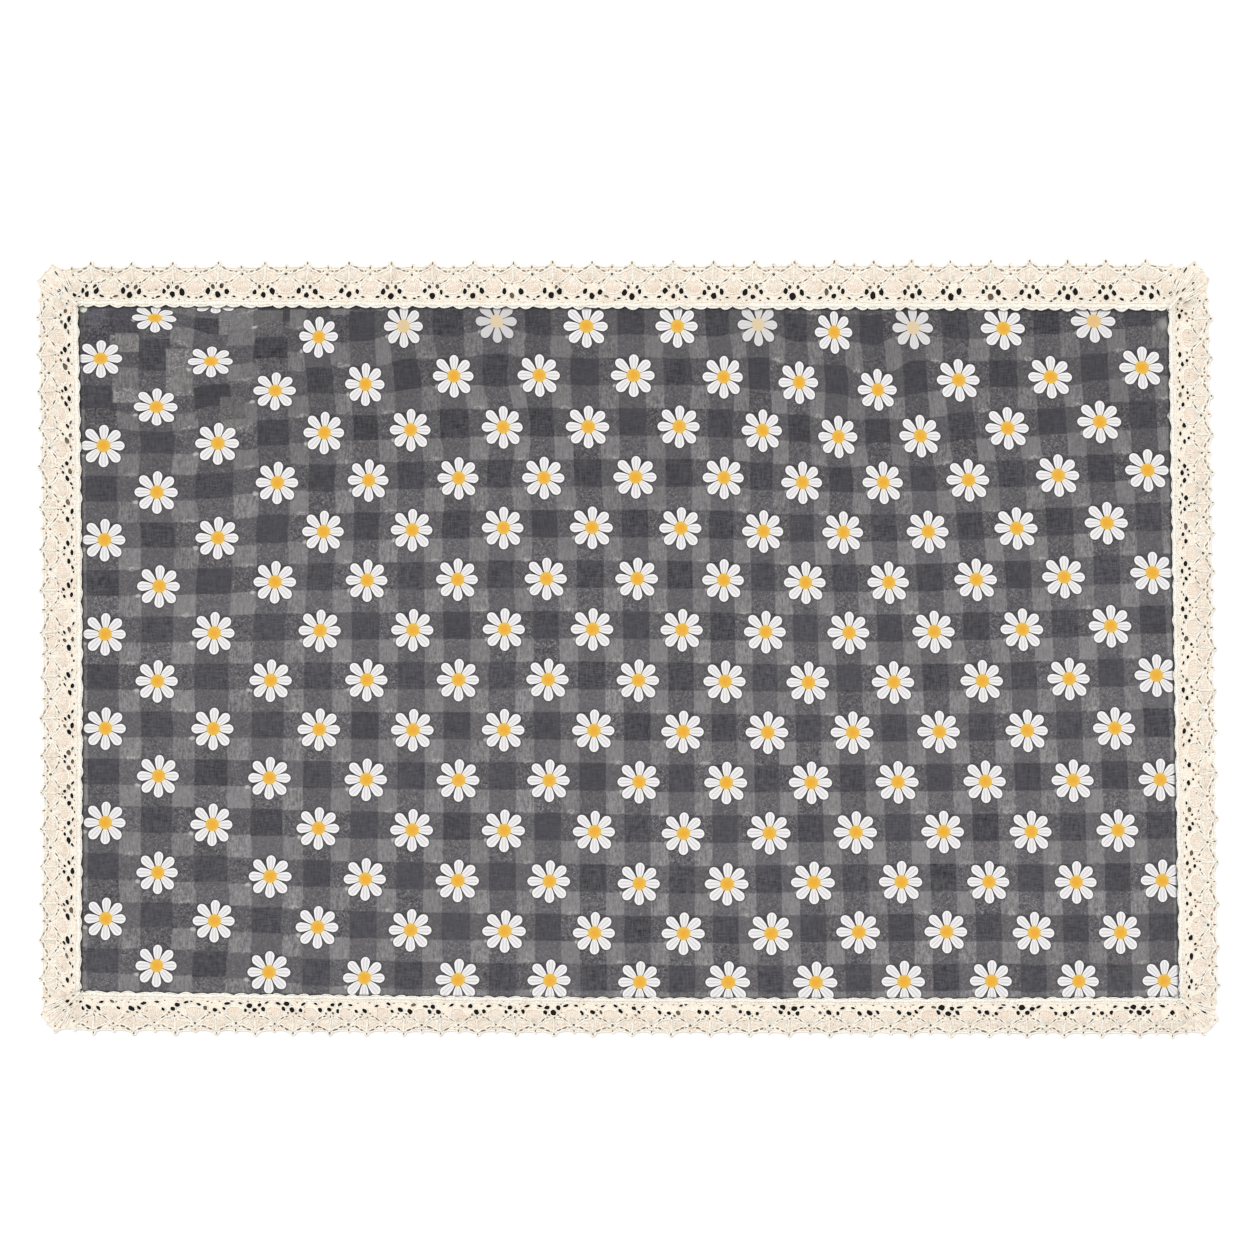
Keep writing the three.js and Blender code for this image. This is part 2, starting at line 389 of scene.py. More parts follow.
def tube(path, radius, tone, sides, closed=False, widen=1.0):
    """A round cord along a path of points, its ends closed or joined to each other. It may be
    widened at each point, to stay round where the lace is drawn together."""
    path = np.asarray(path, float)
    wrapped = np.concatenate([path[-1:], path, path[:1]]) if closed else path
    run = np.gradient(wrapped, axis=0)
    run = run[1:-1] if closed else run
    run /= np.linalg.norm(run, axis=1, keepdims=True)
    across = np.cross(run, (0, 0, 1))
    across /= np.linalg.norm(across, axis=1, keepdims=True)
    up = np.cross(across, run)
    across *= np.broadcast_to(widen, len(path))[:, None]
    turn = 2 * np.pi * np.arange(sides) / sides - np.pi / 2
    ring = across[:, None] * np.cos(turn)[None, :, None] + up[:, None] * np.sin(turn)[None, :, None]
    points = (path[:, None] + radius * ring).reshape(-1, 3)
    length = np.concatenate([[0], np.cumsum(np.linalg.norm(np.diff(path, axis=0), axis=1))])
    coords = np.stack(np.broadcast_arrays(length[:, None], turn[None] / (2 * np.pi), tone), -1)
    count = len(path)
    rows = np.arange(count if closed else count - 1)[:, None] * sides
    after_row = (rows + sides) % (count * sides)
    here = np.arange(sides)[None]
    after = (here + 1) % sides
    quads = np.stack(np.broadcast_arrays(
        rows + here, after_row + here, after_row + after, rows + after), -1).reshape(-1, 4)
    if closed:
        return points, [quads], coords.reshape(-1, 3)
    last = (count - 1) * sides
    caps = np.array([np.arange(sides), last + np.arange(sides)[::-1]])
    return points, [quads, caps], coords.reshape(-1, 3)


def plait(start, end, width, turns, steps):
    """The paths of two yarns twisted round each other."""
    start, end = np.asarray(start, float), np.asarray(end, float)
    t = np.linspace(0, 1, steps + 1)[:, None]
    across = np.array([-(end - start)[1], (end - start)[0], 0])
    across /= np.linalg.norm(across)
    paths = []
    for phase in (0, np.pi):
        angle = 2 * np.pi * turns * t + phase
        path = start + (end - start) * t + across * width * np.cos(angle)
        paths.append(path + np.array([0, 0, 1]) * 0.3 * width * np.sin(angle))
    return paths


def plate(top, bottom):
    """Closes two matching grids into one body."""
    across, down = top.shape[:2]
    under = across * down
    index = np.arange(under).reshape(across, down)
    a, b, c, d = index[:-1, :-1], index[1:, :-1], index[1:, 1:], index[:-1, 1:]
    upper = np.stack([a, b, c, d], -1).reshape(-1, 4)
    quads = [upper, upper[:, ::-1] + under]
    for one, two in ((d[0], a[0]), (b[-1], c[-1]), (a[:, 0], b[:, 0]), (c[:, -1], d[:, -1])):
        quads.append(np.stack([two, one, one + under, two + under], -1))
    return np.concatenate([top.reshape(-1, 3), bottom.reshape(-1, 3)]), np.concatenate(quads)


def mesh_object(name, points, faces, material):
    mesh = bpy.data.meshes.new(name)
    mesh.from_pydata((points * MM).tolist(), [], faces)
    mesh.shade_smooth()
    mesh.materials.append(material)
    piece = bpy.data.objects.new(name, mesh)
    bpy.context.collection.objects.link(piece)
    return piece


def set_vectors(piece, name, values):
    attribute = piece.data.attributes.new(name, "FLOAT_VECTOR", "POINT")
    attribute.data.foreach_set("vector", np.ascontiguousarray(values, np.float32).ravel())


# Openings of one repeat. Each has its place in the repeat, its real half sizes and tilt, and its
# kind. Open ones, called holes at the corners, are cut through where the hem lies below, and are
# black pits past it. Those of the other kinds are pits whose floor is painted that tone, as painted
# shade inside the opening, and an arc takes the tone that its side's style says. Paired ones lie on
# both sides of the repeat's middle.
OPENING_COLUMNS = "kind at half tilt paired"
SHARED_OPENINGS = table(
    OPENING_COLUMNS,
    ("black", (0.4, 26.9), (0.7, 1.6)),
    ("brown", (13.6, 29.3), (3.6, 0.9), 40, True),
    ("brown", (8.4, 26.6), (1.7, 0.9), 20, True),
    ("arc", (7.0, 43.5), (3.0, 1.2), -22, True),
    ("arc", (13.6, 40.2), (2.8, 1.3), -24, True),
    ("brown", (0, 49.1), (1.0, 1.9)),
    ("dim", (23.5, 36.4), (1.4, 1.5)),
    ("brown", (23.5, 44.3), (0.9, 1.7)),
    ("brown", (18.6, 40.0), (1.2, 0.8), 0, True),
    ("open", (16.2, 11.2), (2.3, 1.2), -20, True),
    ("open", (21.2, 9.2), (1.7, 0.9)),
    ("brown", (7.2, 8.9), (1.2, 0.75), 0, True),
    ("pale", (13, 6.3), (0.7, 0.8), 0, True),
    ("pale", (4.0, 33.5), (0.5, 1.6), -14, True))
OPENINGS = {
    "upright": table(
        OPENING_COLUMNS,
        ("open", (0.4, 13.0), (2.8, 3.4)),
        ("open", (9.3, 17.4), (2.3, 3.3), 10, True),
        ("open", (4.7, 22.6), (1.9, 2.5), -8, True)),
    "spread": table(
        OPENING_COLUMNS,
        ("open", (6.6, 12.2), (2.6, 2.2), 0, True),
        ("open", (0.4, 18.6), (2.3, 2.2)),
        ("open", (10.8, 18.6), (1.8, 2.0), 0, True),
        ("brown", (5.2, 22.9), (1.3, 1.3), 0, True)),
    "lengthwise": table(
        OPENING_COLUMNS,
        ("open", (0.8, 11.4), (3.3, 2.1)),
        ("open", (9.8, 15.4), (3.2, 2.3), 0, True),
        ("open", (3.9, 20.0), (1.8, 1.6), 0, True),
        ("brown", (0.4, 22.9), (0.9, 1.2))),
}

# Openings of the eight half corners, measured from the corner picot towards the side's middle
CORNER_OPENINGS = {
    ("lace_back", "end"): table(
        OPENING_COLUMNS,
        ("hole", (14.7, 13.6), (2.8, 3.4)),
        ("hole", (-3.4, 21.6), (1.1, 4.8)),
        ("black", (-1.2, 41.0), (1.1, 4.0)),
        ("black", (6.2, 4.8), (1.0, 0.9)),
        ("tan", (8.6, 27.0), (0.8, 4.4), 8),
        ("tan", (14.2, 28.0), (0.7, 3.6), 8),
        ("brown", (10.4, 43.6), (1.8, 0.8), -20)),
    ("lace_left", "start"): table(
        OPENING_COLUMNS,
        ("black", (-12.6, 24.5), (2.1, 2.5)),
        ("hole", (-4.8, 19.8), (1.2, 4.0)),
        ("hole", (1.5, 11.6), (1.3, 1.4)),
        ("hole", (16.8, 12.2), (1.6, 1.3)),
        ("dim", (-6.2, 43.2), (1.9, 1.6)),
        ("brown", (15.6, 42.4), (1.8, 1.2)),
        ("brown", (21.3, 35.7), (1.2, 1.4)),
        ("tan", (8.8, 31.0), (0.7, 4.0))),
    ("lace_back", "start"): table(
        OPENING_COLUMNS,
        ("hole", (19.0, 16.4), (2.2, 3.3)),
        ("black", (22.4, 36.0), (1.6, 1.6)),
        ("black", (5.6, 41.0), (1.3, 3.4)),
        ("black", (-11.4, 23.8), (1.3, 3.8)),
        ("brown", (1.0, 18.6), (1.2, 3.6)),
        ("tan", (8.8, 27.0), (0.8, 5.0), 4),
        ("tan", (14.0, 30.0), (0.8, 4.0), 4),
        ("brown", (12.4, 42.5), (2.1, 0.9), -20),
        ("brown", (-1.1, 47.6), (1.3, 1.1))),
    ("lace_right", "end"): table(
        OPENING_COLUMNS,
        ("black", (-11.6, 34.2), (2.1, 2.1)),
        ("brown", (-8.2, 15.6), (2.2, 3.2)),
        ("brown", (16.4, 21.3), (1.3, 5.4)),
        ("black", (17.4, 34.2), (1.3, 1.3)),
        ("brown", (2.4, 47.9), (1.0, 1.4)),
        ("tan", (8.6, 28.0), (0.8, 4.4), 5),
        ("hole", (4.2, 12.0), (1.3, 1.2))),
    ("lace_front", "end"): table(
        OPENING_COLUMNS,
        ("black", (-12.6, 25.8), (2.0, 2.0)),
        ("hole", (-12.4, 15.2), (1.6, 2.9)),
        ("hole", (16.0, 12.0), (1.7, 1.5)),
        ("black", (18.4, 34.4), (1.3, 1.3)),
        ("brown", (17.6, 24.5), (1.0, 3.6)),
        ("brown", (8.8, 26.0), (0.9, 4.2)),
        ("brown", (2.1, 48.6), (0.9, 1.3)),
        ("brown", (11.4, 43.4), (1.5, 0.9))),
    ("lace_right", "start"): table(
        OPENING_COLUMNS,
        ("hole", (18.6, 14.6), (2.0, 2.1)),
        ("brown", (15.6, 24.5), (1.2, 3.6)),
        ("brown", (8.9, 25.4), (1.1, 4.6)),
        ("brown", (16, 40.6), (1.4, 1.2)),
        ("black", (-1.6, 31.0), (1.0, 4.0)),
        ("brown", (-3.4, 47.2), (1.2, 1.1))),
    ("lace_left", "end"): table(
        OPENING_COLUMNS,
        ("hole", (-4.6, 16.4), (2.3, 3.0)),
        ("hole", (16.4, 18.4), (2.6, 2.6)),
        ("hole", (5.0, 8.6), (1.1, 1.4)),
        ("brown", (16.2, 42.0), (1.6, 1.0)),
        ("brown", (1.4, 49.4), (0.9, 1.3)),
        ("brown", (-1.4, 30.0), (0.9, 4.0)),
        ("tan", (8.6, 32.0), (0.7, 3.6))),
    ("lace_front", "start"): table(
        OPENING_COLUMNS,
        ("hole", (-7.4, 16.2), (1.3, 4.0)),
        ("black", (-12.8, 27.0), (2.0, 2.5)),
        ("hole", (16.6, 13.6), (2.3, 2.7)),
        ("brown", (20.6, 34.8), (1.4, 1.4)),
        ("brown", (-4.6, 45.0), (1.4, 1.4)),
        ("brown", (8.6, 28.5), (0.8, 4.0))),
}

# How the openings vary, and the room that is left round them
HAND_SIZES = (0.8, 1.18)
HAND_REACH = 0.12
HAND_TILT = 10
FINE_SCATTER = 0.6
DOT_AREA = ((-22, 7), (22, 45))
DOT_HALVES = (0.6, 1.1)
DOT_CLEAR = 3.2
MITRE_CLEAR = 0.8
EDGE_CLEAR = 1.06
BETWEEN_OPENINGS = 0.3
RIM_FROM = 1.4
RIM_OUT = 0.75
WEB_SPACING = 3.9

# Outline of one repeat: its picots, its border between them, and the line where two repeats meet
PICOT = [(-4.6, 46.8), (-3.1, 48.7), (-2.1, 51.0), (0, 52.2), (2.1, 51.0), (3.1, 48.7), (4.6, 46.8)]
MINOR_PICOT = [(21.2, 45.4), (22.1, 47.2), (23.5, 48.1), (24.9, 47.2), (25.8, 45.4)]
CUT_AT = [(0, 6), (0, 12), (0, 18), (0, 24), (0, 28), (1.4, 30.4), (2.9, 33), (2.9, 38), (2.9, 44.9)]
HEAD = [(9, 45.5), (14, 44.9), (19, 45.0)]
MITRE_AT = PAST_PICOT * NOMINAL_PITCH
CROWN = -0.9
CUSP = 1.7
SCALLOPS = 3
FOOT_LINE = 0.2
PICOT_FROM = 46.0

# The lace is drawn together at the corners
GATHER = 6.0
MITRE_FROM = 0.8
WIDEST = 3.5
NARROWEST = 0.05


def scallop(x):
    """The foot's edge: little scallops that hang over the panel."""
    share = np.mod(x * SCALLOPS / NOMINAL_PITCH + 0.5, 1) - 0.5
    return CROWN + (CUSP - CROWN) * np.abs(2 * share) ** 2.2


def repeat_outline(mitred=False, flip=1):
    """Outline of one repeat, and which of its points are shared with the repeats beside it."""
    half = NOMINAL_PITCH / 2
    left = -MITRE_AT if mitred else -half
    foot = [(x, scallop(x)) for x in np.linspace(left, half, 20 if mitred else 25)]
    right = [(half + flip * lean, y) for lean, y in CUT_AT]
    top = (MINOR_PICOT[::-1] if flip > 0 else []) + HEAD[::-1] + PICOT[::-1]
    if mitred:
        top = top[:-2] + [(-7, 50.2), (-MITRE_AT, 50.8)]
        back = [(-MITRE_AT, y) for y in (44, 37, 30, 23, 16, 9)]
    else:
        top = top + [(-x, y) for x, y in HEAD[:2]]
        back = [(x - NOMINAL_PITCH, y) for x, y in right[::-1]]
    points = foot + right + top + back
    shared = np.zeros(len(points), bool)
    shared[len(foot) - 1:len(foot) + len(right)] = True
    if not mitred:
        shared[len(points) - len(back):] = True
        shared[0] = True
    return np.array(points, float), shared


def stretch_at(side, s, y):
    """Real millimetres along and out for each one of the repeat's own, at one place."""
    step = 0.02
    here, beside, beyond = lace_point(side, np.array([s, s + step, s]), np.array([y, y, y + 1.0]))
    along = np.linalg.norm(beside - here) / (step * NOMINAL_PITCH)
    return max(along, NARROWEST), np.linalg.norm(beyond - here)


def oval(place, half, tilt, stretch, rng):
    """An uneven oval, as an opening drawn open by hand-worked yarn."""
    count = 12 if min(half) > RIM_FROM else 8
    turn = 2 * np.pi * np.arange(count) / count
    reach = 1 + rng.uniform(-HAND_REACH, HAND_REACH, count)
    tilt = math.radians(tilt + rng.uniform(-HAND_TILT, HAND_TILT))
    x = half[0] * reach * np.cos(turn)
    y = half[1] * reach * np.sin(turn)
    along = (x * math.cos(tilt) - y * math.sin(tilt)) / stretch[0]
    out = (x * math.sin(tilt) + y * math.cos(tilt)) / stretch[1]
    return np.stack([along, out], -1) + place


def drawn_openings(side, weave, rows, outline, rng):
    """The openings of one repeat, each a little different and some of them closed."""
    style = side["style"]
    drawn = []

    def draw(place, half, tilt, kind):
        stretch = stretch_at(side, weave.middle + weave.flip * place[0] / NOMINAL_PITCH, place[1])
        polygon = oval(place, half, tilt, stretch, rng)
        polygon[:, 0] += max(0, outline[:, 0].min() + MITRE_CLEAR - polygon[:, 0].min())
        if kind in ("open", "hole"):
            kind = "open" if polygon[:, 1].max() * stretch[1] < HEM_REACH else "black"
        grown = place + (polygon - place) * EDGE_CLEAR
        others = [other for other, _ in drawn]
        if inside(grown, outline).all() and clear_of(polygon, others, BETWEEN_OPENINGS).all():
            drawn.append((polygon, kind))

    for row in rows:
        deep = row["kind"] == "open"
        for turned in ((1, -1) if row.get("paired") else (1,)):
            moved = rng.uniform(-1, 1, 2) * (style["scatter"] if deep else FINE_SCATTER)
            grow = rng.uniform(*HAND_SIZES) * (style["open"] if deep else 1)
            left_out, filled = rng.random(2) < (style["left_out"], style["filled"])
            if not (deep and left_out):
                kind = style["arc"] if row["kind"] == "arc" else row["kind"]
                kind = "dim" if deep and filled else kind
                draw(np.array(row["at"]) * (turned, 1) + moved, np.array(row["half"]) * grow,
                     row.get("tilt", 0) * turned, kind)
    for _ in range(rng.poisson(style["dots"])):
        place = rng.uniform(*DOT_AREA)
        if all(np.linalg.norm(other.mean(0) - place) > DOT_CLEAR for other, _ in drawn):
            draw(place, rng.uniform(*DOT_HALVES, 2), 0, "brown")
    return drawn


def inside(points, polygon):
    """Which points lie inside a polygon."""
    x, y = points[:, 0, None], points[:, 1, None]
    x0, y0 = polygon[:, 0], polygon[:, 1]
    x1, y1 = np.roll(x0, -1), np.roll(y0, -1)
    spans = (y0 > y) != (y1 > y)
    with np.errstate(divide="ignore", invalid="ignore"):
        cross = x < (x1 - x0) * (y - y0) / (y1 - y0) + x0
    return (spans & cross).sum(1) % 2 == 1


def clear_of(points, polygons, gap):
    """Which points lie at least about a gap away from every polygon."""
    kept = np.ones(len(points), bool)
    for polygon in polygons:
        middle = polygon.mean(0)
        size = np.linalg.norm(polygon - middle, axis=1).mean()
        kept &= ~inside(points, middle + (polygon - middle) * (1 + gap / size))
    return kept


def inner_grid(outline, polygons):
    """Points inside the cloth work, so that it can swell between its edges."""
    x, y = np.meshgrid(np.arange(-24, 28, WEB_SPACING), np.arange(3.5, 50, WEB_SPACING), indexing="ij")
    y = y + WEB_SPACING / 2 * (np.arange(len(x)) % 2)[:, None]
    points = np.stack([x.ravel(), y.ravel()], -1)
    middle = np.array([outline[:, 0].mean(), 24])
    shrunk = middle + (outline - middle) * (0.95, 0.97)
    points = points[inside(points, shrunk)]
    return points[clear_of(points, polygons, 0.7)]


def swell(x, y):
    """Fans stand a little proud of the ground between them."""
    from_minor = np.abs(np.mod(x, NOMINAL_PITCH) - NOMINAL_PITCH / 2)
    from_main = np.abs(np.mod(x + NOMINAL_PITCH / 2, NOMINAL_PITCH) - NOMINAL_PITCH / 2)
    lower = 1 - (from_minor / 11.5) ** 2 - ((y - 23.5) / 10) ** 2
    upper = 1 - ((from_main - 8) / 6.5) ** 2 - ((y - 35) / 8) ** 2
    return 0.32 * np.clip(lower, 0, 1) + 0.22 * np.clip(upper, 0, 1)


def ground_tone(x, y):
    """Fans darker and more peach than the ground, partly painted shade between their ribs; a paler
    ground, and a nearly white foot.
    """
    fan = np.clip(swell(x, y) / 0.2, 0, 1)
    foot = np.clip((9 - y) / 5, 0, 1)
    rim = np.clip((y - 43) / 4, 0, 1)
    return WEB_TONE - 0.33 * fan + 0.6 * foot + 0.3 * rim


def pierced(outline, shared, openings):
    """Cloth work inside an outline, with openings and pits. Returns its points, smooth faces,
    coordinates, and flat faces."""
    polygons = [polygon for polygon, _ in openings]
    loose = inner_grid(outline, polygons)
    points = np.concatenate([outline] + polygons + [loose])
    edges = []
    total = 0
    for polygon in [outline] + polygons:
        ring = np.arange(len(polygon)) + total
        edges.extend(zip(ring.tolist(), np.roll(ring, -1).tolist()))
        total += len(polygon)
    made = delaunay_2d_cdt([Vector(p) for p in points.tolist()], edges, [], 0, 1e-5)
    flat = np.array([(v.x, v.y) for v in made[0]])
    corners = np.array([face for face in made[2] if len(face) == 3])
    a, b, c = flat[corners[:, 0]], flat[corners[:, 1]], flat[corners[:, 2]]
    area = (b[:, 0] - a[:, 0]) * (c[:, 1] - a[:, 1]) - (b[:, 1] - a[:, 1]) * (c[:, 0] - a[:, 0])
    corners = np.where((area < 0)[:, None], corners[:, ::-1], corners)[np.abs(area) > 1e-6]
    middle = flat[corners].mean(1)
    within = inside(middle, outline)
    pit = np.zeros(len(corners), bool)
    pit_shade = np.zeros(len(flat))
    for polygon, kind in openings:
        here = inside(middle, polygon)
        if kind == "open":
            within &= ~here
        else:
            pit |= here
            # Painted shade: the pit's floor takes the dark tone of its kind, for the shadow inside the
            # opening
            pit_shade[np.unique(corners[here])] = PIT_SHADE_TONES[kind]
    pit &= within
    is_shared = np.array([any(i < len(shared) and shared[i] for i in origin) for origin in made[3]])
    return close_sheet(flat, corners, within, pit, pit_shade, is_shared)


def close_sheet(flat, corners, within, pit, pit_shade, is_shared):
    """Gives cut-out cloth work its two faces, the floors of its pits, and walls where it ends."""
    count = len(flat)
    x, y = flat[:, 0], flat[:, 1]
    top = np.column_stack([x, y, WEB_TOP + swell(x, y)])
    bottom = np.column_stack([x, y, np.full(count, WEB_BOTTOM)])
    floor = np.column_stack([x, y, np.full(count, PIT_FLOOR)])
    surface = corners[within & ~pit]
    floors = corners[pit]
    directed = {(int(t[i]), int(t[(i + 1) % 3])) for t in surface for i in range(3)}
    in_floor = {(int(t[i]), int(t[(i + 1) % 3])) for t in floors for i in range(3)}
    walls = []
    for one, two in sorted(directed):
        if (two, one) in directed:
            continue
        if (two, one) in in_floor:
            walls.append((one + 2 * count, two + 2 * count, two, one))
        elif not (is_shared[one] and is_shared[two]):
            walls.append((one + count, two + count, two, one))
    tone = ground_tone(x, y)
    coords = np.concatenate([np.column_stack([x, y / 6, tone]), np.column_stack([x, y / 6, tone]),
                             np.column_stack([x, y / 6, pit_shade])])
    smooth = [surface, floors + 2 * count]
    hard = [corners[within][:, ::-1] + count, np.array(walls, int)]
    return np.concatenate([top, bottom, floor]), smooth, coords, hard


# Cords on both sides of a repeat's middle: the zigzag and the cord beside it, and the scalloped
# band between the fans and the edge
PAIRED_CORDS = table(
    "points steps height radius",
    (((2.8, 27.2), (6.4, 28.6), (10.8, 29.2), (17.2, 34.6), (22.0, 39.0)), 9, 1.0, 0.95),
    (((8.4, 24.6), (12.0, 25.9), (15.8, 28.9), (19.4, 32.6), (21.4, 34.6)), 8, 0.9, 0.8),
    (((1.2, 45.0), (3.8, 42.4), (9.2, 40.4), (14.6, 37.4), (19, 37.6), (21.8, 39.2)), 9, 0.95, 0.95),
    (((10.6, 42.9), (15.5, 41.9), (20.6, 42.2)), 6, 0.85, 0.8))
PICOT_LOOP = [(-1.7, 46.2), (-2.0, 48.4), (-1.4, 50.6), (0, 51.5),
              (1.4, 50.6), (2.0, 48.4), (1.7, 46.2)]
UPPER_FAN = {"near": [(2.6, 30.4), (3.6, 29.6), (6.0, 31.0)],
             "far": [(2.8, 42.0), (7.0, 40.2), (12.2, 36.9), (16.4, 35.2)]}
# The lower fan's arc, across it as a share of its half width
LOWER_FAN = {"near": [(-1.5, 33.0), (0, 32.5), (1.5, 33.0)],
             "arc": [(-1.0, 26), (-1.0, 20.2), (-0.75, 17), (-0.4, 15.4), (0, 14.9), (0.4, 15.4),
                     (0.75, 17), (1.0, 20.2), (1.0, 26)]}
NECK_BARS = (39.6, 41.4)
CORNER_RAYS = table(
    "x low high",
    (-9.0, 25, 44), (-5.4, 27, 44), (2.4, 20, 44), (6.2, 18, 38), (11.0, 20, 44))
# Radius, tone and sides of the fans' thin cords
RIB = (0.6, RIB_TONE, 4)


def ribs(near, far):
    """Straight paths from one curve to another."""
    share = np.linspace(0, 1, 4)[:, None]
    return [one + (two - one) * share for one, two in zip(near, far)]


def add_main(weave):
    """Main picot with its plaited stem, the upper fans, and the cords on both sides."""
    for path in plait((0, 29.4, 1.05), (0, 46.6, 1.05), 0.95, 3, 12):
        weave.cord(path, 0.8)
    weave.cord(raised(spline(PICOT_LOOP, 9), 1.0), 0.8)
    for path in ribs(spline(UPPER_FAN["near"], 5), spline(UPPER_FAN["far"], 5)):
        weave.cords(raised(path, 0.86), *RIB)
    for row in PAIRED_CORDS:
        weave.cords(raised(spline(row["points"], row["steps"]), row["height"]), row["radius"])


def edge_path():
    """The edge of one repeat, over its picots."""
    left = [(x - NOMINAL_PITCH, y) for x, y in MINOR_PICOT[3:]]
    back = [(-x, y) for x, y in HEAD[:2]][::-1]
    return left + back + PICOT + HEAD + MINOR_PICOT[:4]


def add_edge(weave, path, steps):
    """The cord that runs just inside the edge."""
    path = spline(path, steps)
    path[:, 1] -= 0.45
    weave.cord(raised(path, 0.82), 0.88)


def add_minor(weave, half):
    """Lower fan of a given half width, the cords round it, and the minor picot's neck."""
    axis = NOMINAL_PITCH / 2
    arc = np.array(LOWER_FAN["arc"]) * (half, 1)
    for path in ribs(spline(LOWER_FAN["near"], 8), spline(arc * (0.88, 1) + (0, 1.3), 8)):
        weave.cord(raised(path + (axis, 0), 0.98), *RIB)
    weave.cord(raised(spline(arc, 14) + (axis, 0), 0.95), 0.95)
    for y in NECK_BARS:
        weave.cord([(axis - 2.4, y, 0.9), (axis, y - 0.3, 1.0), (axis + 2.4, y, 0.9)], 0.75)


def add_rims(weave, openings):
    """A yarn drawn round each larger opening."""
    for polygon, _ in openings:
        middle = polygon.mean(0)
        size = np.linalg.norm(polygon - middle, axis=1)
        if size.mean() > RIM_FROM:
            ring = middle + (polygon - middle) * (1 + RIM_OUT / size)[:, None]
            weave.cord(raised(ring, 0.85), 0.8, CORD_TONE, 4, closed=True)


def add_corner_cords(side, weave):
    """Cords that fan out of the inner corner, and the edge past the corner picot."""
    for ray in CORNER_RAYS:
        path = np.array([(ray["x"], y, 1.0) for y in np.linspace(ray["low"], ray["high"], 6)])
        repeat = weave.middle + weave.flip * ray["x"] / NOMINAL_PITCH
        drawn_in = [stretch_at(side, repeat, y)[0] for y in path[:, 1]]
        weave.cord(path, 0.95, widen=1 / np.clip(drawn_in, 1 / WIDEST, 1))
    edge = [(-MITRE_AT, 50.3), (-7, 49.9), (-3, 50.2), (-1.6, 51.4), (0, 51.9)] + PICOT[4:] + HEAD
    add_edge(weave, edge + MINOR_PICOT[:4 if weave.flip > 0 else 2], 34)


# The foot's twisted cords and tape, and the stitches that sew it down
TWIST_AT = 3.1
TWIST_LENGTH = 8.2
TAPE_AT = 6.6
FOOT_STEP = 2.0
STITCH_PITCH = 3.9


def add_foot(side, weave):
    """The cords that run the whole length of the foot, and the stitches that sew it down."""
    repeat = np.linspace(-PAST_PICOT, side["repeats"] + PAST_PICOT, 3000)
    along = foot_distance(side, tip_point(side, repeat))
    at = np.arange(along[0] + 0.5, along[-1] - 0.5, FOOT_STEP)
    x = NOMINAL_PITCH * np.interp(at, along, repeat)
    uneven = 0.25 * np.sin(at / 9.3) + 0.2 * np.sin(at / 3.7)
    for phase in (0, np.pi):
        turn = 2 * np.pi * at / TWIST_LENGTH + phase
        path = np.column_stack([x, TWIST_AT + 0.8 * np.cos(turn), 1.0 + 0.2 * np.sin(turn)])
        weave.cord(path, 1.0, FOOT_TONE)
    weave.cord(np.column_stack([x, scallop(x) + 0.5, np.full(len(x), 0.85)]), 1.0, FOOT_TONE)
    weave.cord(np.column_stack([x, TAPE_AT + uneven, np.full(len(x), 0.9)]), 0.7, CORD_TONE, 4)
    for start in np.arange(at[0] + 2, at[-1] - 4, STITCH_PITCH):
        over = NOMINAL_PITCH * np.interp((start, start + 0.7, start + 1.4), along, repeat)
        weave.cord(list(zip(over, (1.3, 2.9, 4.7), (0.8, 2.0, 0.8))), 0.4, CORD_TONE, 4)


def mitre_cord(side, after):
    """A flat cord over the meeting of two lengths of lace, already laid in its place."""
    y = np.linspace(MITRE_FROM, 50.2, 26)
    here = lace_point(side, np.full(len(y), side["repeats"] + PAST_PICOT), y)
    there = lace_point(after, np.full(len(y), -PAST_PICOT), y)
    place = (here + there) / 2
    path = np.column_stack([place, heights(side, place) + 0.95])
    return tube(path, 0.95, CORD_TONE, 6, widen=0.65 + 1.8 * np.exp(-y / 7))


def handmade(side, s, y):
    """Small shifts of the pattern from place to place, as worked by hand. They die out at the
    mitres, so that two lengths of lace meet there."""
    phase, style = side["phase"], side["style"]
    count = side["repeats"]
    meet = np.clip((s + PAST_PICOT) / 0.3, 0, 1) * np.clip((count + PAST_PICOT - s) / 0.3, 0, 1)
    low = np.clip((28 - y) / 14, 0, 1) * np.clip(s, 0, 1) * np.clip(count - s, 0, 1)
    along = 0.5 * np.sin(5.3 * s + 0.11 * y + phase) + 0.35 * np.sin(11.9 * s - 0.2 * y + phase)
    along = along + style["inner"] * low * (1 + 0.5 * np.sin(0.9 * s + phase))
    gather = np.exp(-np.abs(count - 1 - s)) - np.exp(-np.abs(s - 1))
    along = along + GATHER * gather * low
    out = 0.35 * np.sin(4.1 * s + 1.3 * phase) + 0.3 * np.sin(9.7 * s + 0.3 * y)
    foot = 0.55 * np.sin(8.7 * s + phase) + 0.5 * np.sin(14.3 * s + 2 * phase)
    out = out * np.clip((y + 4) / 12, 0.4, 1) + foot * np.clip((8 - y) / 8, 0, 1)
    edge = np.minimum(y, CUSP) - FOOT_LINE
    out = out - style["level"] * edge * np.clip((5 - y) / (5 - CUSP), 0, 1)
    out = out - style["lift"] * np.clip((6 - y) / 4, 0, 1)
    out = out - (1 - style["picot"]) * np.maximum(y - PICOT_FROM, 0)
    return along * meet, out * meet


def heights(side, place):
    """Height of what the lace lies on: over the hem, down its edge, then the table."""
    out = (place - side["foot"]) @ side["out"]
    return OVER_HEM * (1 - eased(np.clip((out - RAMP_START) / (RAMP_END - RAMP_START), 0, 1)))


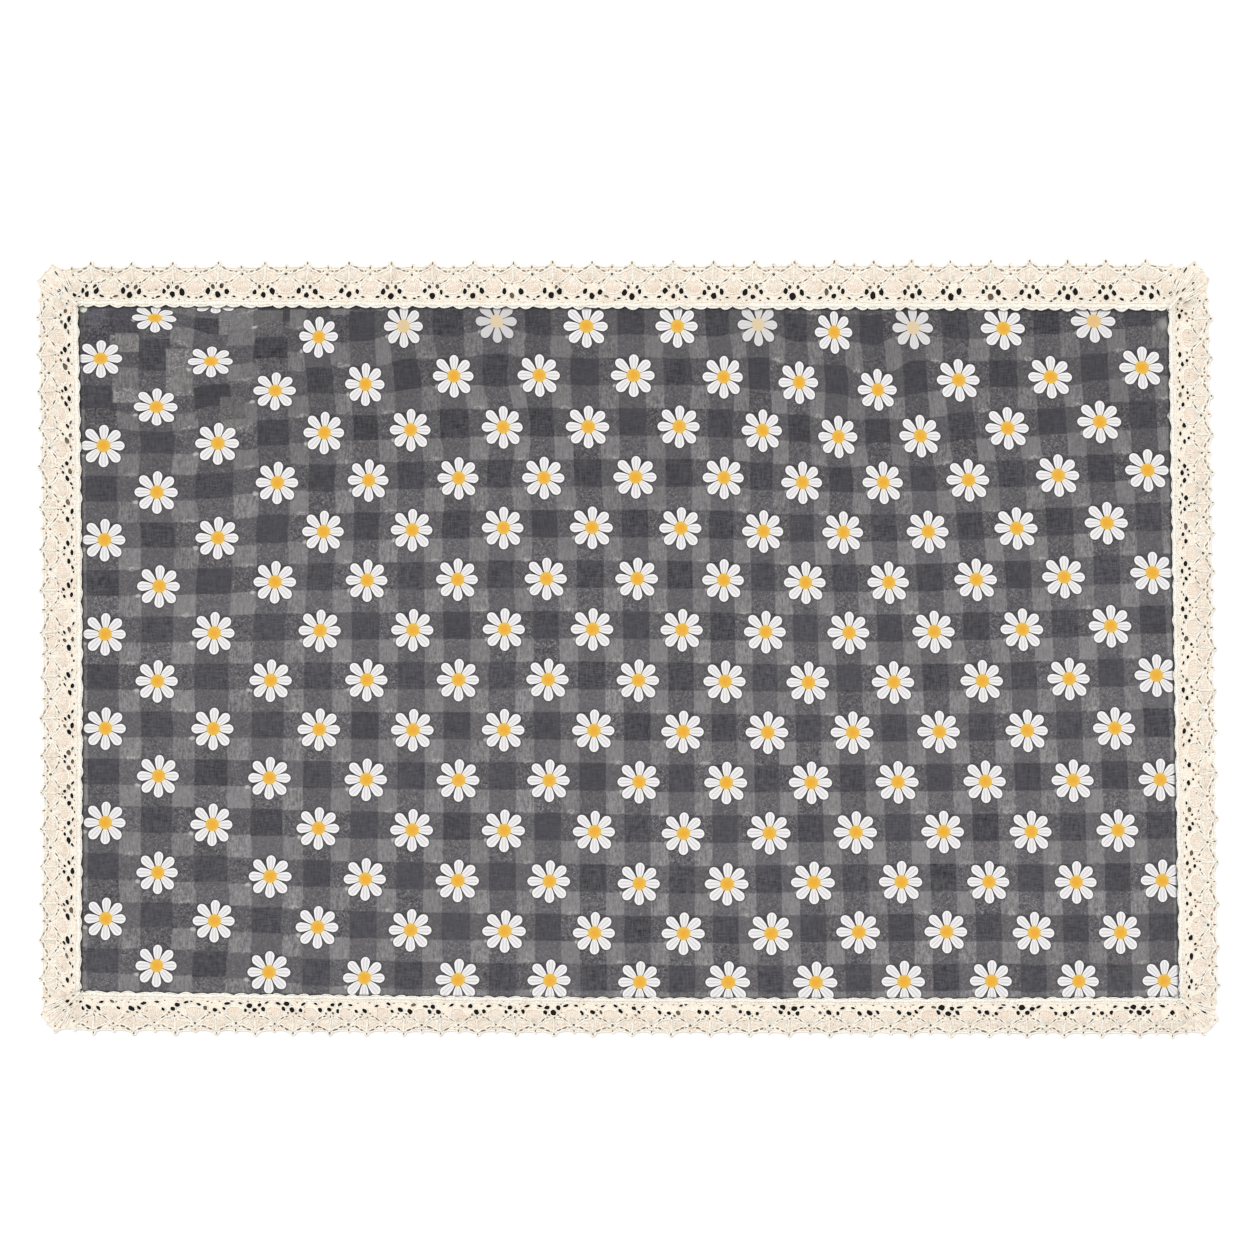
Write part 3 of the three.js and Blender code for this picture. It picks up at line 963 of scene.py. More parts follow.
def add_work(side, weave, rows, outline, shared, rng):
    """The cloth work of one repeat with its openings, and the yarn round them."""
    openings = drawn_openings(side, weave, rows, outline, rng)
    weave.add(*pierced(outline, shared, openings))
    add_rims(weave, openings)


def weave_lace(side, rng):
    """One length of lace from mitre to mitre."""
    weave = Weave()
    count = side["repeats"]
    outline, shared = repeat_outline()
    rows = SHARED_OPENINGS + OPENINGS[side["style"]["holes"]]
    for i in range(1, count):
        weave.start(i)
        add_work(side, weave, rows, outline, shared, rng)
        add_main(weave)
        add_edge(weave, edge_path(), 46)
        if i < count - 1:
            add_minor(weave, side["style"]["fan"])
    for middle, flip, end in ((0, 1, "start"), (count, -1, "end")):
        weave.start(middle, flip)
        outline, shared = repeat_outline(True, flip)
        add_work(side, weave, CORNER_OPENINGS[side["name"], end], outline, shared, rng)
        add_corner_cords(side, weave)
        add_minor(weave, side["style"]["fan"])
    weave.start(0)
    add_foot(side, weave)
    return weave


def make_lace(side, after, shift, material, rng):
    """One length of lace, with the cord over the mitre at its end, as one piece."""
    weave = weave_lace(side, rng)
    local = np.concatenate(weave.points)
    s, y = local[:, 0], local[:, 1]
    along, out = handmade(side, s, y)
    place = lace_point(side, s + along / NOMINAL_PITCH, y + out)
    points = np.column_stack([place, heights(side, place) + local[:, 2]])
    cord, rings, cord_coords = mitre_cord(side, after)
    faces = weave.faces + [(face + weave.count).tolist() for group in rings for face in group]
    points = np.concatenate([points, cord]) + (*shift, 0)
    piece = mesh_object(side["name"] + "_yarn", points, faces, material)
    piece.data.attributes.new("sharp_face", "BOOLEAN", "FACE")
    hard = np.concatenate(weave.hard + [np.zeros(len(faces) - len(weave.faces), bool)])
    piece.data.attributes["sharp_face"].data.foreach_set("value", hard)
    set_vectors(piece, "cord_at", np.concatenate(weave.coords + [cord_coords]))
    return piece


# Panel

EDGE_STEPS = (0, 0.7, 4, 12, 22.6, 24.2, 27, 31, 36, 42, 50)
GRID_STEP = 9.5
ROUNDED_EDGE = 1.2
HEM_STEP = 0.12
NOT_UNDER_LACE = -10.0
WAVE_HEIGHT, WAVES_FROM, WAVES_WHOLE = 0.22, 34, 60
PUCKER_HEIGHT, PUCKER_FROM, PUCKER_REACH = 0.09, 26, 16


def grid_shares(length):
    """Places of the panel's grid lines across one side, closer together at the hem."""
    inner = np.linspace(EDGE_STEPS[-1], length / 2, int((length / 2 - EDGE_STEPS[-1]) / GRID_STEP))
    half = np.concatenate([EDGE_STEPS, inner[1:]])
    return np.concatenate([half, length - half[-2::-1]]) / length


def lie_of_cloth(x, y, edge):
    """How far the cloth stands off the table: slow waves, and small puckers at the seam."""
    wave = np.sin(x / 61 + 0.6 * np.sin(y / 83)) * np.sin(y / 74 + 0.5 * np.sin(x / 97) + 1)
    slow = WAVE_HEIGHT * (1 + wave) * np.clip((edge - WAVES_FROM) / WAVES_WHOLE, 0, 1)
    nearness = np.exp(-np.maximum(edge - PUCKER_FROM, 0) / PUCKER_REACH) * (edge > PUCKER_FROM)
    pucker = PUCKER_HEIGHT * (1 + np.sin((x + y) / 2.9 + 2 * np.sin((x - y) / 37))) * nearness
    return slow + pucker


def panel_grid(sides):
    """Places of the cloth's mesh points, and how far each lies from the nearest edge."""
    corners = panel_corners(sides, HEM_REACH)
    across = np.linalg.norm(corners[1] - corners[0])
    down = np.linalg.norm(corners[3] - corners[0])
    a = grid_shares(across)[:, None, None]
    b = grid_shares(down)[None, :, None]
    front = corners[0] + (corners[1] - corners[0]) * a
    back = corners[3] + (corners[2] - corners[3]) * a
    place = front + (back - front) * b
    edge = np.minimum(np.minimum(a, 1 - a) * across, np.minimum(b, 1 - b) * down)[..., 0]
    return place, edge


def print_places(place):
    """Column and row of the print at each point of the cloth, its pitch there, and how much the
    row changes from column to column along a level line."""
    rows = {key: np.array([row[key] for row in PRINT_GRID], float) for key in PRINT_GRID[0]}
    fine = np.linspace(-2, 26, 1121)
    grid = {key: smooth_line(fine, rows["column"], rows[key]) for key in rows if key != "column"}
    x, y = place[..., 0], place[..., 1]
    column = np.interp(x, grid["across"], fine)
    for _ in range(4):
        row = row_at(column, y, fine, grid)
        n = (row - MIDDLE_ROW) / HALF_ROWS
        leaned = x - (np.interp(column, fine, grid["lean"]) * n
                      + np.interp(column, fine, grid["curve"]) * n * n)
        column = np.interp(leaned, grid["across"], fine)
    row = row_at(column, y, fine, grid)
    pitch_x = np.interp(column, fine, np.gradient(grid["across"], fine))
    pitch_y = np.interp(column, fine, grid["pitch"])
    tilt = row_at(column + 0.5, y, fine, grid) - row_at(column - 0.5, y, fine, grid)
    moved_x, moved_y = nudged(column, row)
    return column - moved_x / pitch_x, row + moved_y / pitch_y, pitch_x, pitch_y, tilt


def nudged(column, row):
    """How far the print is moved at each place, for the daisies that lie off their grid."""
    moved_x, moved_y, total = 0, 0, 1
    for nudge in NUDGES:
        away = np.hypot(column - nudge["column"], row - nudge["row"])
        share = eased(np.clip((NUDGE_REACH - away) / (NUDGE_REACH - NUDGE_WHOLE), 0, 1))
        moved_x = moved_x + nudge["by"][0] * share
        moved_y = moved_y + nudge["by"][1] * share
        total = total + share
    total = np.maximum(1, total - 1)
    return moved_x / total, moved_y / total


def past_foot(sides, place):
    """How far under the lace each point lies, from its foot line."""
    reach = []
    for side in sides:
        away = place - side["foot"]
        share = np.clip((away @ side["foot_along"]) / side["foot_length"], 0, 1)
        reach.append(away @ side["out"] - bowed(side["foot_bow"], share))
    return np.max(reach, axis=0)


def smooth_line(at, places, values):
    """A smooth line through the rows of a table, run on straight past its ends."""
    slopes = np.gradient(values, places)
    cell = np.clip(np.searchsorted(places, at, side="right") - 1, 0, len(places) - 2)
    width = places[cell + 1] - places[cell]
    t = np.clip((at - places[cell]) / width, 0, 1)
    start, end = values[cell], values[cell + 1]
    lead, trail = slopes[cell] * width, slopes[cell + 1] * width
    line = ((2 * t ** 3 - 3 * t ** 2 + 1) * start + (t ** 3 - 2 * t ** 2 + t) * lead
            + (3 * t ** 2 - 2 * t ** 3) * end + (t ** 3 - t ** 2) * trail)
    line += np.minimum(at - places[0], 0) * slopes[0]
    return line + np.maximum(at - places[-1], 0) * slopes[-1]


def row_at(column, y, fine, grid):
    """Row of the print at a height, its top rows crowded together."""
    pitch = np.interp(column, fine, grid["pitch"])
    middle = np.interp(column, fine, grid["middle"])
    crowd = np.interp(column, fine, grid["crowd"])
    row = MIDDLE_ROW + (middle - y) / pitch
    for _ in range(3):
        row = MIDDLE_ROW + (middle - y - crowd * np.maximum(0, CROWDED_ROWS - row) ** 2) / pitch
    return row


def make_panel(sides, shift, material):
    """The cloth, with what its print needs at each point: its place in the print and how far it
    is under the lace, the print's pitch and tilt, and where it lies and on which face."""
    place, edge = panel_grid(sides)
    column, row, pitch_x, pitch_y, tilt = print_places(place)
    stand = lie_of_cloth(place[..., 0], place[..., 1], edge)
    on_hem = edge < HEM_REACH - HEM_START
    top = np.where(on_hem, HEM_THICK, CLOTH_THICK) + stand
    top = np.where(edge <= 0, ROUNDED_EDGE, top)
    bottom = np.where(on_hem, 0, HEM_STEP) + stand
    upper = np.concatenate([place + shift, top[..., None]], -1)
    lower = np.concatenate([place + shift, bottom[..., None]], -1)
    points, quads = plate(upper, lower)
    piece = mesh_object("panel_cloth", points, quads.tolist(), material)
    x, y = place[..., 0], place[..., 1]
    under_lace = past_foot(sides, place)
    for name, above, below in (
            ("print_at", (column, row, under_lace), (column, row, np.full_like(edge, NOT_UNDER_LACE))),
            ("print_pitch", (pitch_x, pitch_y, tilt), (pitch_x, pitch_y, tilt)),
            ("lies_at", (x, y, np.ones_like(edge)), (x, y, np.zeros_like(edge)))):
        set_vectors(piece, name, np.stack([np.stack(above, -1), np.stack(below, -1)]))
    return piece


# Materials

DULL_SPECULAR = 0.2
SHEEN_ROUGHNESS = 0.6


class Value:
    """The output of a node, which can be reckoned with as numbers are."""

    def __init__(self, nodes, socket):
        self.nodes = nodes
        self.socket = socket

    def __add__(self, other):
        return self.nodes.math("ADD", self, other)

    def __radd__(self, other):
        return self.nodes.math("ADD", other, self)

    def __sub__(self, other):
        return self.nodes.math("SUBTRACT", self, other)

    def __rsub__(self, other):
        return self.nodes.math("SUBTRACT", other, self)

    def __mul__(self, other):
        return self.nodes.math("MULTIPLY", self, other)

    def __truediv__(self, other):
        return self.nodes.math("DIVIDE", self, other)

    def __pow__(self, other):
        return self.nodes.math("POWER", self, other)

    def __abs__(self):
        return self.nodes.math("ABSOLUTE", self)


class Nodes:
    """The nodes of one material. Each call adds nodes and returns the value they give."""

    def __init__(self, name):
        self.material = bpy.data.materials.new(name)
        self.material.use_nodes = True
        self.tree = self.material.node_tree
        self.shader = self.tree.nodes["Principled BSDF"]

    def feed(self, socket, value):
        if isinstance(value, Value):
            self.tree.links.new(value.socket, socket)
        elif value is not None:
            socket.default_value = value

    def make(self, kind, inputs, output=0, **settings):
        """One new node, set and fed, and the output that is asked for."""
        node = self.tree.nodes.new("ShaderNode" + kind)
        for name, value in settings.items():
            setattr(node, name, value)
        for key, value in inputs.items():
            self.feed(node.inputs[key], value)
        return Value(self, node.outputs[output])

    def math(self, operation, *values):
        return self.make("Math", dict(enumerate(values)), operation=operation)

    def floor(self, value):
        return self.math("FLOOR", value)

    def nearest(self, value):
        """The nearest whole number."""
        return self.floor(value + 0.5)

    def lower(self, a, b):
        return self.math("MINIMUM", a, b)

    def length(self, x, y):
        return self.math("SQRT", x * x + y * y)

    def ramp(self, value, low, high, start=0.0, end=1.0):
        """Eases from start to end as value goes from low to high."""
        inputs = dict(enumerate((value, low, high, start, end)))
        return self.make("MapRange", inputs, interpolation_type="SMOOTHSTEP")

    def within(self, value, low, high, most=1.0):
        """Eases from most down to none as value goes from low to high."""
        return self.ramp(value, low, high, most, 0.0)

    def mix(self, share, first, second, blend="MIX"):
        inputs = {"Factor": share, 6: colour(first), 7: colour(second)}
        return self.make("Mix", inputs, 2, data_type="RGBA", blend_type=blend)

    def brighten(self, base, bright):
        grey = self.make("CombineXYZ", {0: bright, 1: bright, 2: bright})
        return self.mix(1.0, base, grey, "MULTIPLY")

    def attribute(self, name):
        """The three values of a mesh's vector attribute."""
        vector = self.make("Attribute", {}, "Vector", attribute_name=name)
        split = self.make("SeparateXYZ", {0: vector})
        return [Value(self, output) for output in split.socket.node.outputs]

    def noise(self, scale, detail, rough=0.5, stretch=(1, 1, 1)):
        """Noise over the object, in cells per metre, drawn out where the stretch is under 1."""
        here = self.make("TexCoord", {}, "Object")
        vector = self.make("Mapping", {0: here, "Scale": stretch})
        return self.make("TexNoise", {"Vector": vector, "Scale": scale, "Detail": detail,
                                      "Roughness": rough})

    def colour_ramp(self, value, stops):
        """A colour for each place, between a few stops."""
        low, high = stops[0]["tone"], stops[-1]["tone"]
        result = self.make("ValToRGB", {0: (value - low) * (1 / (high - low))})
        marks = result.socket.node.color_ramp.elements
        while len(marks) < len(stops):
            marks.new(0.5)
        for mark, stop in zip(marks, stops):
            mark.position = (stop["tone"] - low) / (high - low)
            mark.color = colour(stop["colour"])
        return result

    def chance(self, x, y):
        """A steady random value for a pair of whole numbers."""
        pair = self.make("CombineXYZ", {0: x, 1: y})
        return self.make("TexWhiteNoise", {"Vector": pair}, noise_dimensions="2D")

    def bump(self, height, distance, strength, below=None):
        return self.make("Bump", {"Strength": strength, "Distance": distance, "Height": height,
                                  "Normal": below})

    def finish(self, base, roughness, normal=None, sheen=0.0):
        inputs = {"Base Color": base, "Roughness": roughness, "Normal": normal,
                  "Specular IOR Level": DULL_SPECULAR, "Sheen Weight": sheen,
                  "Sheen Roughness": SHEEN_ROUGHNESS}
        for name, value in inputs.items():
            self.feed(self.shader.inputs[name], value)
        return self.material


def linear(level):
    """A screen level from 0 to 255 as light."""
    level = level / 255
    return level / 12.92 if level <= 0.04045 else ((level + 0.055) / 1.055) ** 2.4


def colour(value):
    """Screen levels (r, g, b) to a colour; sockets pass through."""
    if isinstance(value, tuple):
        return (linear(value[0]), linear(value[1]), linear(value[2]), 1.0)
    return value


# Print colours, as screen levels, with the painted shade under the lace and beside its foot
DARK_DARK = (76, 75, 80)
DARK_UP = (103, 101, 104)
DARK_ACROSS = (102, 100, 103)
LIGHT_LIGHT = (129, 126, 127)
UNDER_LACE_SHADE = (22, 17, 13)
SEAM_SHADE = (48, 46, 47)
PETAL_RIM = (251, 249, 247)
PETAL_MIDDLE = (236, 233, 234)
PETAL_LINE = (186, 184, 184)
PETAL_WARM = (250, 226, 168)
PETAL_GAP = (58, 56, 58)
EYE_MIDDLE = (237, 172, 50)
EYE_RIM = (228, 190, 95)
SMUDGE = (198, 196, 190)
FADED_PETAL = (206, 203, 203)
FADED_EYE = (222, 203, 170)

# Painted shade: the cloth is drawn a little darker towards the back edge, where the light falls off;
# the print differs a little from square to square
BACK_SHADE_FROM, BACK_SHADE_TO, BACK_SHADE = 20.0, 360.0, 0.82
SQUARE_CHANGE = 0.18
MOTTLE = 0.2

# Bands, in grid cells: half widths, how far the middle of each lies from the daisy's eye, and how
# soft their edges are
UP_HALF, UP_SHIFT, UP_SOFT = 0.295, -0.035, 0.016
ACROSS_HALF, ACROSS_SHIFT, ACROSS_SOFT = 0.2735, -0.084, 0.014

# Petals, as printed: direction in degrees, middle's distance from the eye, half length, half width
PETALS = table(
    "turn middle half_length half_width",
    (87, 16.5, 8.1, 5.6),
    (42, 16.8, 8.3, 5.8),
    (-1, 16.2, 7.9, 5.7),
    (-46, 17.4, 8.5, 5.9),
    (-90, 17.3, 8.1, 5.8),
    (-136, 17.5, 8.5, 6.0),
    (180, 17.2, 8.4, 5.8),
    (136, 17.8, 8.5, 5.8))
PETAL_REACH_IN = 0.7
VEIN_AT = 1.9
EYE_RADIUS = 7.9
SHOWS_THROUGH = 0.1
FADED = table(
    "column row petals eye",
    (6, 1, 0.15, 0.8),
    (8, 1, 0.9, 1.0),
    (14, 1, 0.6, 1.0),
    (18, 1, 0.55, 0.95),
    (22, 1, 0.2, 0.5))
MISSING = table("column row", (3, 0), (24, 1), (0, 15))

# Marks by every daisy, in grid cells from its eye, and odd squares near one corner of the print
# and two pale spots, in millimetres
SMUDGE_AT, SMUDGE_SIZE = (-0.39, 0.2), (0.075, 0.062)
SCRATCH_AT, SCRATCH_SIZE = (-0.5, -0.38), (0.2, 0.07)
SQUARE_SOFT = 0.8
ODD_SQUARES = table(
    "at size tone",
    ((-593.4, 387.5), (34.2, 31), (86, 84, 90)),
    ((-625.3, 387.5), (29.0, 31), (98, 96, 102)),
    ((-644.8, 381), (9.4, 46), (106, 105, 105)),
    ((-625.3, 361), (29.0, 22), (92, 90, 95)),
    ((-593.5, 360), (34, 20), (140, 136, 136)),
    ((-592, 313), (32, 18), (125, 123, 124)),
    ((-590.5, 297), (33, 14), (146, 143, 143)),
    ((-528.5, 337.5), (32, 32), (132, 129, 130)),
    ((-528.5, 309), (32, 22), (136, 133, 133)),
    ((-461.5, 384), (41, 28), (130, 127, 128)),
    ((-423, 385), (33, 28), (114, 112, 113)),
    ((-443.5, 324.5), (20, 25), (122, 119, 120)),
    ((-466, 284), (29.5, 26), (115, 112, 113)),
    ((-460.5, 263), (38, 15), (136, 133, 133)))
SPOTS = table(
    "at radius soft strength colour",
    ((-641.8, 401), 4.5, 0.5, 1.0, (215, 222, 205)),
    ((632.5, 383), 6.0, 4.0, 0.8, (156, 154, 151)))


def band(nodes, value, shift, half, soft):
    """1 inside one band of every grid cell."""
    moved = value - shift
    return nodes.within(abs(moved - nodes.nearest(moved)), half - soft, half + soft)


def petal_depth(nodes, x, y, petal):
    """Under 1 inside one egg-shaped petal, and the way across it from its middle line."""
    turn = math.radians(petal["turn"])
    along = x * math.cos(turn) + y * math.sin(turn)
    across = y * math.cos(turn) - x * math.sin(turn)
    length = (along - petal["middle"]) * (1 / petal["half_length"])
    length = length - nodes.lower(length, 0.0) * (1 - PETAL_REACH_IN)
    width = across * (1 / petal["half_width"]) / (nodes.lower(length, 0.35) * 0.3 + 0.9)
    return abs(length) ** 2.3 + abs(width) ** 2.0, across


def square_at(nodes, value, start, share):
    """Number of the square that a place lies in, dark and light ones counted alike, and how far
    the place lies from that square's middle."""
    moved = value - start
    cell = nodes.floor(moved)
    rest = moved - cell
    light = nodes.math("GREATER_THAN", rest, share)
    return cell * 2.0 + light, rest - (share / 2 + light * 0.5)


def cloth_grain(nodes, up, across):
    """Yarn that shows: streaks up in the light squares, fine crossed lines in the dark ones, and
    flecks in those between."""
    streaks_up = nodes.noise(560, 2, 0.6, (1, 0.2, 1)) - 0.5
    streaks_across = nodes.noise(560, 2, 0.6, (0.2, 1, 1)) - 0.5
    stipple = nodes.noise(330, 2, 0.7) - 0.5
    curl = abs(nodes.noise(230, 1) - 0.5)
    broken = nodes.ramp(nodes.noise(520, 1), 0.44, 0.56)
    flecks = nodes.within(curl, 0.0, 0.07) * broken - 0.2
    light = streaks_up * 1.3 + stipple * 1.2
    dark = (streaks_up + streaks_across) * 1.4
    between = stipple * 1.5 + flecks * 0.75
    both = up * across
    neither = (1.0 - up) * (1.0 - across)
    return light * neither + dark * both + between * (1.0 - (both + neither))


def check_colour(nodes, column, row, tilt, lies_at):
    """Gingham of heathered yarn, with each square level and a little different from the next."""
    wobble = (nodes.noise(90, 2) - 0.5) * 0.05
    number_x, from_middle = square_at(nodes, column, UP_SHIFT - UP_HALF, 2 * UP_HALF)
    level_row = row - tilt * from_middle
    number_y = square_at(nodes, level_row, ACROSS_SHIFT - ACROSS_HALF, 2 * ACROSS_HALF)[0]
    up = band(nodes, column + wobble, UP_SHIFT, UP_HALF, UP_SOFT)
    across = band(nodes, level_row + wobble, ACROSS_SHIFT, ACROSS_HALF, ACROSS_SOFT)
    light = nodes.mix(across, LIGHT_LIGHT, DARK_ACROSS)
    dark = nodes.mix(across, DARK_UP, DARK_DARK)
    base = nodes.mix(up, light, dark)
    for square in ODD_SQUARES:
        base = nodes.mix(in_square(nodes, lies_at, square), base, square["tone"])
    change = nodes.chance(number_x, number_y) - 0.5
    mottle = nodes.noise(34, 3, 0.6) - 0.5
    level = change * SQUARE_CHANGE + mottle * MOTTLE
    strength = 0.6 + nodes.chance(number_y, number_x) * 0.8
    grain = cloth_grain(nodes, up, across) * strength
    # Painted shade, darker towards the back edge
    shade = nodes.ramp(lies_at[1], BACK_SHADE_FROM, BACK_SHADE_TO, 1.0, BACK_SHADE)
    return nodes.brighten(base, (1.0 + (level + grain)) * shade)


def in_square(nodes, lies_at, square):
    """1 inside one odd square of the print."""
    across, down = (
        nodes.within(abs(place - middle), size / 2 - SQUARE_SOFT, size / 2 + SQUARE_SOFT)
        for place, middle, size in zip(lies_at, square["at"], square["size"]))
    return across * down


def in_spot(nodes, lies_at, spot):
    """How much of one pale spot shows."""
    away = nodes.length(lies_at[0] - spot["at"][0], lies_at[1] - spot["at"][1])
    radius, soft = spot["radius"], spot["soft"]
    return nodes.within(away, radius - soft, radius + soft, spot["strength"])


def nearest_daisy(nodes, column, row):
    """Column and row of the nearest daisy, which are an odd number together, and the way from
    it."""
    total = nodes.nearest((column + row - 1.0) * 0.5)
    difference = nodes.nearest((column - row - 1.0) * 0.5)
    near_column = total + difference + 1.0
    near_row = total - difference
    return near_column, near_row, column - near_column, row - near_row


def all_petals(nodes, x, y):
    """Under 1 inside the nearest petal, and how much of its fine printed lines shows."""
    nearest = None
    lines = None
    for petal in PETALS:
        depth, across = petal_depth(nodes, x, y, petal)
        line = nodes.within(abs(abs(across) - VEIN_AT), 0.3, 1.1) * nodes.within(depth, 0.5, 0.95)
        nearest = depth if nearest is None else nodes.lower(nearest, depth)
        lines = line if lines is None else lines + line
    return nearest, lines


def is_flower(nodes, near_column, near_row, flower):
    """1 where the nearest daisy is this one."""
    return (nodes.math("COMPARE", near_column, float(flower["column"]), 0.2)
            * nodes.math("COMPARE", near_row, float(flower["row"]), 0.2))


def how_printed(nodes, near_column, near_row):
    """Whether the nearest daisy is there, and how faded its petals and its eye are."""
    shown, faded, pale_eye = 1.0, 0.0, 0.0
    for flower in MISSING:
        shown = shown - is_flower(nodes, near_column, near_row, flower)
    for flower in FADED:
        here = is_flower(nodes, near_column, near_row, flower)
        faded = faded + here * flower["petals"]
        pale_eye = pale_eye + here * flower["eye"]
    return shown, faded, pale_eye


def daisy_colours(nodes, base, near_column, near_row, x, y):
    """The ground with the nearest daisy printed over it."""
    from_eye = nodes.length(x, y)
    nearest, lines = all_petals(nodes, x, y)
    shown, faded, pale_eye = how_printed(nodes, near_column, near_row)
    petal = nodes.mix(nodes.ramp(nearest, 0.3, 0.8), PETAL_MIDDLE, PETAL_RIM)
    petal = nodes.mix(nodes.ramp(lines, 0.1, 1.0, 0.0, 0.55), petal, PETAL_LINE)
    glow = nodes.within(from_eye, EYE_RADIUS - 0.3, EYE_RADIUS + 2.3, 0.8)
    petal = nodes.mix(glow, petal, PETAL_WARM)
    petal = nodes.mix(faded, petal, FADED_PETAL)
    speckled = from_eye + nodes.noise(500, 1) * 9.0
    eye = nodes.mix(nodes.ramp(speckled, 6.5, 12.5), EYE_MIDDLE, EYE_RIM)
    eye = nodes.mix(pale_eye, eye, FADED_EYE)
    result = nodes.mix(shown * nodes.within(nearest, 1.0, 2.0, 0.6), base, PETAL_GAP)
    result = nodes.mix(shown * nodes.within(nearest, 0.92, 1.08), result, petal)
    in_eye = nodes.within(from_eye, EYE_RADIUS - 0.5, EYE_RADIUS + 0.5)
    return nodes.mix(shown * in_eye, result, eye)


def worn_mark(nodes, rest_x, rest_y, at, size, scale):
    """A pale rubbed patch at the same place beside every daisy."""
    away = nodes.length((rest_x - at[0]) * (1 / size[0]), (rest_y - at[1]) * (1 / size[1]))
    return nodes.within(away + nodes.noise(scale, 2, 0.7) * 1.2, 0.9, 1.5)


def squiggle(nodes, rest_x, rest_y):
    """A faint curly scratch between the daisies."""
    patch = worn_mark(nodes, rest_x, rest_y, SCRATCH_AT, SCRATCH_SIZE, 160)
    line = abs(nodes.noise(190, 1) - 0.5)
    return patch * nodes.ramp(line, 0.02, 0.09, 1.0, 0.15)


def printed_colour(nodes, column, row, lies_at):
    """The check with its worn marks, and the daisies over it, which only show through below."""
    pitch_x, pitch_y, tilt = nodes.attribute("print_pitch")
    base = check_colour(nodes, column, row, tilt, lies_at)
    near_column, near_row, rest_x, rest_y = nearest_daisy(nodes, column, row)
    smudge = worn_mark(nodes, rest_x, rest_y, SMUDGE_AT, SMUDGE_SIZE, 260)
    base = nodes.mix(smudge * 0.75, base, SMUDGE)
    often = nodes.ramp(nodes.chance(near_column, near_row), 0.2, 0.5, 0.1, 0.5)
    base = nodes.mix(squiggle(nodes, rest_x, rest_y) * often, base, SMUDGE)
    x = rest_x * pitch_x
    y = (tilt * rest_x - rest_y) * pitch_y
    printed = daisy_colours(nodes, base, near_column, near_row, x, y)
    return nodes.mix(nodes.ramp(lies_at[2], 0.0, 1.0, SHOWS_THROUGH, 1.0), base, printed)


def check_cloth():
    nodes = Nodes("check_cloth")
    column, row, under_lace = nodes.attribute("print_at")
    lies_at = nodes.attribute("lies_at")
    base = printed_colour(nodes, column, row, lies_at)
    for spot in SPOTS:
        base = nodes.mix(in_spot(nodes, lies_at, spot), base, spot["colour"])
    base = nodes.mix(nodes.ramp(under_lace, -3.4, -0.6, 0.0, 0.8), base, SEAM_SHADE)
    # Painted shade: the cloth under the lace is drawn nearly black, for the shadow seen through the
    # lace's openings
    base = nodes.mix(nodes.ramp(under_lace, 1.0, 3.0, 0.0, 1.0), base, UNDER_LACE_SHADE)
    weave = nodes.noise(1800, 1, stretch=(1, 0.1, 1)) + nodes.noise(1800, 1, stretch=(0.1, 1, 1))
    relief = nodes.bump(weave, 0.0003, 0.6)
    creases = nodes.noise(16, 3, 0.55, (1, 0.6, 1))
    return nodes.finish(base, 0.92, nodes.bump(creases, 0.004, 0.25, relief), 0.05)


# Lace colours, as screen levels, from the darkest pit to the lightest cord. The darker tones are
# painted shade on the floors of the pits.
YARN_TONES = table(
    "tone colour",
    (-1.4, (58, 46, 37)),
    (-1.0, (138, 114, 90)),
    (-0.3, (244, 225, 207)),
    (0.0, (252, 240, 224)),
    (1.0, (255, 252, 242)),
    (1.3, (255, 252, 243)))
CORD_FLANK_SHADE = (208, 177, 145)
SHADE_TAN = (226, 198, 168)


def lace_cotton():
    nodes = Nodes("lace_cotton")
    along, around, tone = nodes.attribute("cord_at")
    base = nodes.colour_ramp(tone, YARN_TONES)
    base = nodes.mix(nodes.ramp(nodes.noise(45, 3, 0.6), 0.45, 0.8, 0.0, 0.3), base, SHADE_TAN)
    is_cord = nodes.ramp(tone, 0.66, 0.72) * nodes.ramp(tone, 1.05, 1.15, 1.0, 0.15)
    # Painted shade: the cords' sides, away from their tops, are drawn tan, for the shade beside each
    # raised cord
    flank_shade = nodes.ramp(abs(around - 0.25), 0.14, 0.32, 0.0, 0.65)
    base = nodes.mix(is_cord * flank_shade, base, CORD_FLANK_SHADE)
    speckle = nodes.noise(350, 2, 0.6) + nodes.noise(700, 1) - 1.0
    base = nodes.brighten(base, 1.0 + speckle * 0.45)
    twist = nodes.math("SINE", along * 4.2 + around * (2 * math.tau))
    relief = nodes.bump(twist * 0.5 + nodes.noise(2600, 2), 0.00012, 0.8)
    return nodes.finish(base, 0.85, relief, 0.15)


# Stage: a pale floor just under the cloth, soft light from all round, and a wide sun from the
# back left

